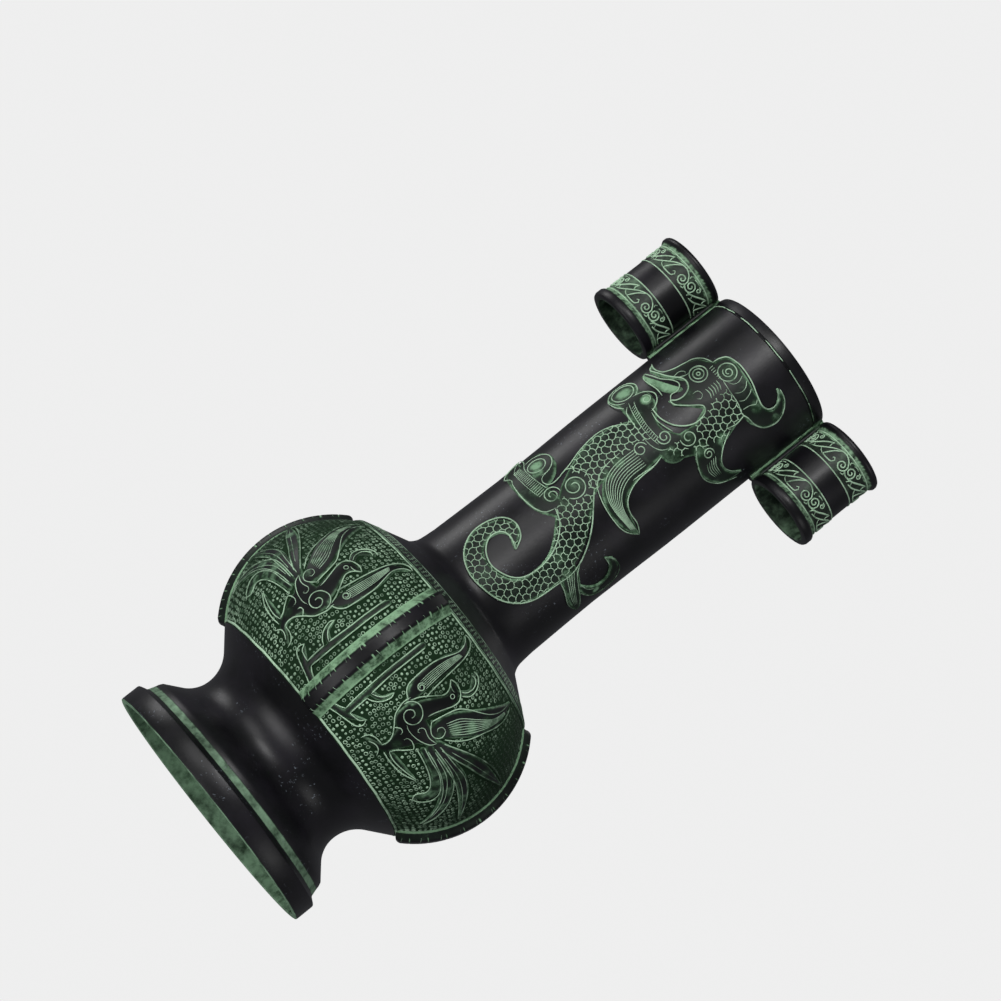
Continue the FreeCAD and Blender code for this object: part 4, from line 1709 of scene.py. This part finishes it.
@dataclass
class Neck:
    """Shoulder, neck and lip, with the carved animal on the neck's front."""

    skin: NeckSkin = field(default_factory=NeckSkin)
    shoulder: ShoulderSkin = field(default_factory=ShoulderSkin)
    bore: float = 39.0
    bore_foot: float = 176.0
    seam: float = 5.6
    seam_foot: float = 389.0
    seam_head: float = 399.0
    line_height: float = 164.6
    ring_heights: tuple[float, ...] = (161.2, 162.4, 163.6)
    ring_gap: float = 2.7
    lip_height: float = 393.2
    lip_ends: tuple[float, float] = (-136.0, 134.0)

    def wall(self) -> Piece:
        """The neck's wall with its lip, green inside and beside the webs.

        Returns:
            The closed piece.
        """
        outer = [(BAND_RADIUS, BAND_HEAD), self.shoulder.foot, self.shoulder.head, (46.2, 176.2), (45.0, 178.2)]
        outer += list(zip(self.skin.radii, self.skin.heights))[:-1]
        outer += [(43.5, 392.2), (42.95, 392.7), (42.9, 393.1), (43.3, 393.5), (43.9, 394.0), (44.1, 398.6),
                  (43.8, 399.7), (43.0, TOP)]
        inner = [(39.9, TOP), (39.2, 399.7), (self.bore, 399), (self.bore, self.bore_foot), (44.6, 170.6),
                 (69.3, 156.6), (69.3, 156.4)]
        piece = Bench.spin("neck", [*outer, *inner])
        rows, reach, height = Bench.measured(piece)
        inside = (reach < self.bore + 1) | ((height < 171) & (reach < 68))
        green = np.where(inside, 0.22, 0.0)
        green = np.where(height < BAND_HEAD + 0.5, 0.9, green)
        ragged = np.random.default_rng(6).uniform(-1.6, 1.2, len(rows))
        beside = (np.abs(rows[:, 1]) < self.seam + ragged) & (reach > 42)
        green = np.where(beside & between(height, self.seam_foot, self.seam_head), 0.62, green)
        Bench.weather(piece, green)
        Bench.smooth(piece, 30)
        return piece

    def build(self) -> None:
        """Models and dresses the neck and all that is carved on it."""
        Bench.finish(self.wall(), SATIN_BLACK)
        Animal(self.skin).build()
        Bench.finish(self.lip_line(), PALE_THREAD)
        Bench.finish(self.shoulder_line(), PALE_THREAD)

    def shoulder_line(self) -> Piece:
        """The thin line round the shoulder and the punched rings inside it.

        Returns:
            The piece.
        """
        skin, draw = self.shoulder, random.Random(17)
        ring = [(k * 3.0, self.line_height) for k in range(120)]
        strokes = [Stroke(ring, 0.3, -0.02, closed=True, smooth=False)]
        corners = [math.pi * k / 3 for k in (0, 1, 2, 3, -2, -1)]
        for up in self.ring_heights:
            count = int(skin.radius(up) * 2 * math.pi / self.ring_gap)
            for k in range(count):
                turn = 360 * (k + draw.uniform(-0.15, 0.15)) / count
                # The ribs' heads stand in the row.
                if abs((turn + 45) % 90 - 45) < 1.5:
                    continue
                size = draw.uniform(0.55, 0.75)
                wide = math.degrees(size / skin.radius(up))
                cell = [(turn + wide * math.cos(a), up + 0.5 * size * math.sin(a)) for a in corners]
                strokes.append(Stroke(cell, 0.2, closed=True, smooth=False))
        return Bench.thread("shoulder_line", skin, strokes)

    def lip_line(self) -> Piece:
        """The broken pale line under the lip.

        Returns:
            The piece.
        """
        draw = random.Random(3)
        strokes, (at, end) = [], self.lip_ends
        while at < end:
            run = draw.uniform(5, 26)
            points = [(at + run * k / 6, self.lip_height + 0.12 * math.sin(at + k)) for k in range(7)]
            strokes.append(Stroke(points, 0.36, 0.05))
            at += run + draw.choice((0.8, 1.5, 6.0))
        return Bench.thread("lip_line", self.skin, strokes)


# --------------------------------------------------------------------------
# A quarter of a scroll band: degrees and height, with each line's half width.
# A roll stands after some lines: place, radius, direction and turns.
SCROLLS: list[tuple[Points, Points, float]] = [
    ([(-50, 2.4), (-40, 3.4), (-27, 6.4), (-15, 9.6), (-5, 11.3), (4, 11.6), (11, 10.6)],
     [(10.5, 5.9, 3.8, 60, -1.7)], 0.44),
    ([(-58, 3.6), (-47, 5.6), (-35, 8.8), (-23, 11.6)], [], 0.5),
    ([(-23, 11.6), (-25, 9.6), (-24, 8.0)], [], 0.36),
    ([(-5, 11.1), (-14, 8.0), (-20, 4.4), (-23, 2.4), (-13, 2.0), (-5, 2.4), (-2.5, 4.2), (-5, 5.6), (-8, 4.8)],
     [], 0.4),
    ([(-33, 4.9), (-30, 3.4), (-24, 2.2)], [], 0.32),
    ([(17, 2.4), (22, 3.0)], [(28, 7.2, 3.9, 215, 1.7)], 0.44),
    ([(34, 11.6), (30, 11.9), (24, 11.4)], [], 0.34),
    ([(19, 11.7), (16.5, 10.8), (18, 9.6)], [], 0.32),
    ([(38, 11.6)], [(41, 9.8, 1.7, 120, -1.3)], 0.34),
    ([(34, 2.2), (37, 4.2), (41, 5.0), (44, 3.4)], [], 0.36),
]


class Side(Enum):
    """On which side of the mouth an ear stands."""

    RIGHT = 1
    LEFT = -1


@dataclass
class Ear:
    """One tube ear with beads at both ends, scroll bands and its web."""

    side: Side
    offset: float = 68.4
    radius: float = 21.3
    wall: float = 2.7
    low: float = 346.5
    high: float = 399.8
    proud: float = 2.0
    web_root: float = 41.0
    web_width: float = 3.8
    band_feet: tuple[float, float] = (353.9, 380.3)
    band_edges: tuple[float, ...] = (354.6, 367.3, 380.3, 393.4)
    line_lift: float = 0.05

    def name(self, stem: str) -> str:
        """A piece's name on this side."""
        return f"{stem}_{self.side.name.lower()}"

    def tube(self) -> Piece:
        """The ear's tube.

        Returns:
            The closed piece, standing at its place.
        """
        mid, low, high = self.radius, self.low, self.high
        far, near = mid + self.proud, mid - self.wall
        section = [
            (near + 0.5, low), (far - 1.5, low), (far - 0.5, low + 0.4), (far, low + 1.5), (far, low + 4.6),
            (far - 0.5, low + 5.6), (mid + 0.3, low + 6.6), (mid, low + 7.2), (mid, 355.0), (mid, 355.7),
            (mid, 367.0), (mid + 0.3, 367.3), (mid, 367.6), (mid, 380.0), (mid + 0.3, 380.3), (mid, 380.6),
            (mid, 391.8), (mid, 392.5), (mid, high - 5.4), (mid + 0.3, high - 4.6), (far - 0.5, high - 3.4),
            (far, high - 2.6), (far, high - 1.2), (far - 0.5, high - 0.3), (far - 1.2, high),
            (near + 0.7, high), (near + 0.1, high - 0.5), (near, high - 1.4), (near, low + 1.2),
            (near + 0.1, low + 0.4),
        ]
        piece = Bench.spin(self.name("ear"), section, 128)
        _, reach, height = Bench.measured(piece)
        green = np.where(reach < near + 0.6, 0.5, 0.0)
        bands = ((353.0, 367.45, 0.4), (380.15, 395.6, 0.4), (352.0, 355.3, 0.95), (392.2, 396.0, 0.95))
        for foot, head, share in bands:
            # The narrow bands beside the beads are thick and ragged.
            ragged = np.random.default_rng(int(foot)).uniform(-0.45, 0.0, len(reach)) if share > 0.5 else 0.0
            band = (reach > mid - 0.5) & between(height, foot, head)
            green = np.where(band, np.maximum(green, share + ragged), green)
        Bench.weather(piece, green)
        piece.data.transform(Matrix.Translation((self.side.value * self.offset * MM, 0, 0)))
        Bench.smooth(piece, 35)
        return piece

    def web(self) -> Piece:
        """The web between ear and neck.

        Returns:
            The closed piece, with rounded roots.
        """
        Bench.clear()
        bpy.ops.mesh.primitive_cube_add(size=1, location=(0, 0, 0))
        piece = Bench.named(self.name("web"))
        Bench.edit(partial(bpy.ops.mesh.subdivide, number_cuts=15))
        rows = Bench.corners(piece)
        along, end = rows[:, 0] + 0.5, self.offset - self.radius + 1.2

        def bell(values: Rows, middle: float, width: float) -> Rows:
            """A rounded rise to one about a middle."""
            return np.exp(-((values - middle) / width) ** 2)

        swell = 1 + 0.8 * bell(along, 0.36, 0.16) + 0.7 * bell(along, 1.0, 0.2)
        across = self.web_root + (end - self.web_root) * along
        height = self.low + 0.6 + (self.high - self.low - 0.9) * (rows[:, 2] + 0.5)
        Bench.move(piece, np.c_[self.side.value * across, rows[:, 1] * self.web_width * swell, height] * MM)
        # Green gathers in both seams and at the web's foot and head.
        seam = 1.1 * bell(along, 0.38, 0.13) + 0.9 * bell(along, 0.95, 0.14)
        ends = bell(0.5 - np.abs(rows[:, 2]), 0.0, 0.12)
        ragged = np.random.default_rng(4).uniform(-0.5, 0.35, len(rows))
        Bench.weather(piece, np.where(np.abs(rows[:, 1]) > 0.4, np.maximum(seam, ends) * (0.85 + ragged), 0.1))
        if self.side is Side.LEFT:
            Bench.edit(Bench.outward)
        Bench.smooth(piece, 50)
        return piece

    def scrolls(self) -> list[Stroke]:
        """The scroll bands' carved lines, four motifs round each band.

        Returns:
            The strokes in degrees and millimetres.
        """
        degree = math.radians(1) * self.radius
        motif = []
        for line, rolls, half in SCROLLS:
            for x, y, reach, first, turns in rolls:
                rolled = spiral(0, 0, reach, 0.5, first, turns, 10)
                line = [*line, *((x + px / degree, y + py) for px, py in rolled)]
            motif.append((line, half))
        made = []
        for foot in self.band_feet:
            for turn in (0, 90, 180, 270):
                for line, half in motif:
                    points = [(x + turn, foot + 0.3 + y * 0.98) for x, y in line]
                    made.append(Stroke(points, half, 0.1, step=3.0))
        for height in self.band_edges:
            ring = [(k * 6.0, height) for k in range(60)]
            made.append(Stroke(ring, 0.38, self.line_lift, closed=True, smooth=False))
        return made

    def build(self) -> None:
        """Models and dresses the ear."""
        Bench.finish(self.tube(), EAR_BLACK)
        Bench.finish(self.web(), RIB_BLACK)
        skin = EarSkin(self.side.value * self.offset, self.radius)
        Bench.finish(Bench.thread(self.name("ear") + "_scrolls", skin, self.scrolls()), PALE_THREAD)


# --------------------------------------------------------------------------
# Soft lights: name, place in metres, width and height, and watts.
LIGHTS = (
    ("front_high", (-0.25, -1.9, 0.97), (0.42, 0.42), 11),
    ("front_left", (-1.1, -1.7, 0.45), (0.9, 0.8), 6),
    ("left_soft", (-1.95, 0.15, 0.58), (0.7, 0.7), 6.5),
    ("right_soft", (1.8, -0.7, 0.2), (0.8, 0.8), 3),
    ("top_soft", (0.1, 0.5, 2.0), (1.0, 1.0), 8),
    ("low_soft", (-0.45, -1.25, -1.0), (1.1, 0.9), 10),
)


@dataclass
class Studio:
    """Camera, lights, room and floor."""

    distance: float = 1.8243
    height: float = -0.1072
    swing: float = 7.518
    yaw: float = -1.035
    pitch: float = 10.480
    roll: float = 51.664
    lens: float = 121.24
    aim: float = 0.2
    backdrop: Colour = (0.86, 0.86, 0.86)
    room: Colour = (0.11, 0.112, 0.12)
    floor_size: float = 8.0
    floor_drop: float = 0.0006
    floor_grey: Colour = (0.8, 0.8, 0.8)
    floor_glow: float = 0.55
    floor_fade: tuple[float, float] = (0.35, 1.3)

    def camera(self) -> None:
        """Places the camera as the photograph was taken."""
        yaw, pitch, roll, swing = (math.radians(v) for v in (self.yaw, self.pitch, self.roll, self.swing))
        ahead = Vector((math.sin(yaw) * math.cos(pitch), math.cos(yaw) * math.cos(pitch), math.sin(pitch)))
        right = Vector((math.cos(yaw), -math.sin(yaw), 0))
        up = right.cross(ahead)
        turned_right = math.cos(roll) * right + math.sin(roll) * up
        turned_up = -math.sin(roll) * right + math.cos(roll) * up
        frame = Matrix((turned_right, turned_up, -ahead)).transposed().to_4x4()
        frame.translation = Vector((0, -self.distance, self.height))
        bpy.ops.object.camera_add()
        camera = bpy.context.object
        camera.name = "camera"
        camera.matrix_world = Matrix.Rotation(swing, 4, "Z") @ frame
        camera.data.lens = self.lens
        camera.data.sensor_width = 36
        camera.data.clip_start = 0.05
        bpy.context.scene.camera = camera

    def light(self, name: str, place: tuple[float, ...], size: tuple[float, float], power: float) -> None:
        """Adds a soft flat light that looks at the vase.

        Args:
            name: the light's name.
            place: where it stands, in metres.
            size: its width and height.
            power: its watts.
        """
        bpy.ops.object.light_add(type="AREA", location=place)
        light = bpy.context.object
        light.name = name
        light.data.shape = "RECTANGLE"
        light.data.size, light.data.size_y = size
        light.data.energy = power
        light.rotation_mode = "QUATERNION"
        light.rotation_quaternion = (Vector(place) - Vector((0, 0, self.aim))).to_track_quat("Z", "Y")

    def walls(self) -> None:
        """Makes the room, pale to the camera and dim to the metal."""
        world = bpy.data.worlds.new("pale_room")
        bpy.context.scene.world = world
        world.use_nodes = True
        desk = Desk(world.node_tree, "Background")
        desk.fill(desk.main, Color=self.backdrop)
        room = desk.fill(desk.add("ShaderNodeBackground"), Color=self.room)
        seen = desk.add("ShaderNodeLightPath").outputs["Is Camera Ray"]
        desk.show(seen, room, desk.main, "World Output")
        bpy.context.scene.view_settings.view_transform = "Standard"

    def floor(self) -> None:
        """Lays a pale floor that fades out, and is open from below."""
        Bench.clear()
        bpy.ops.mesh.primitive_plane_add(size=self.floor_size, location=(0, 0, -self.floor_drop))
        floor = bpy.context.object
        floor.name = "floor"
        pale = bpy.data.materials.new("pale_floor")
        pale.use_nodes = True
        desk = Desk(pale.node_tree)
        desk.fill(desk.main, Base_Color=self.floor_grey, Roughness=0.9,
                  Emission_Color=self.floor_grey, Emission_Strength=self.floor_glow)
        far = desk.add("ShaderNodeVectorMath", operation="LENGTH")
        desk.put(far.inputs[0], desk.add("ShaderNodeTexCoord").outputs["Object"])
        faded = desk.ramp(far.outputs["Value"], *self.floor_fade)
        below = desk.add("ShaderNodeNewGeometry").outputs["Backfacing"]
        gone = desk.math("MAXIMUM", faded, below)
        desk.show(gone, desk.main, desk.add("ShaderNodeBsdfTransparent"), "Material Output")
        floor.data.materials.append(pale)
        for ray in ("diffuse", "glossy", "shadow", "transmission", "volume_scatter"):
            setattr(floor, f"visible_{ray}", False)
        floor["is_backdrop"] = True

    def build(self) -> None:
        """Sets up the whole studio."""
        Bench.clear()
        self.camera()
        for light in LIGHTS:
            self.light(*light)
        self.walls()
        self.floor()


def main() -> None:
    """Builds the vase's looks part by part."""
    logging.basicConfig(level=logging.INFO, format="%(message)s")
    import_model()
    Studio().build()
    for part in (Foot(), Belly(), Neck(), Ear(Side.RIGHT), Ear(Side.LEFT)):
        part.build()
        LOG.info("%s is built", type(part).__name__)
    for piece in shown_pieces():
        LOG.info("%s: %d faces", piece.name, len(piece.data.polygons))
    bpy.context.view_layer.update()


if __name__ == "__main__":
    main()
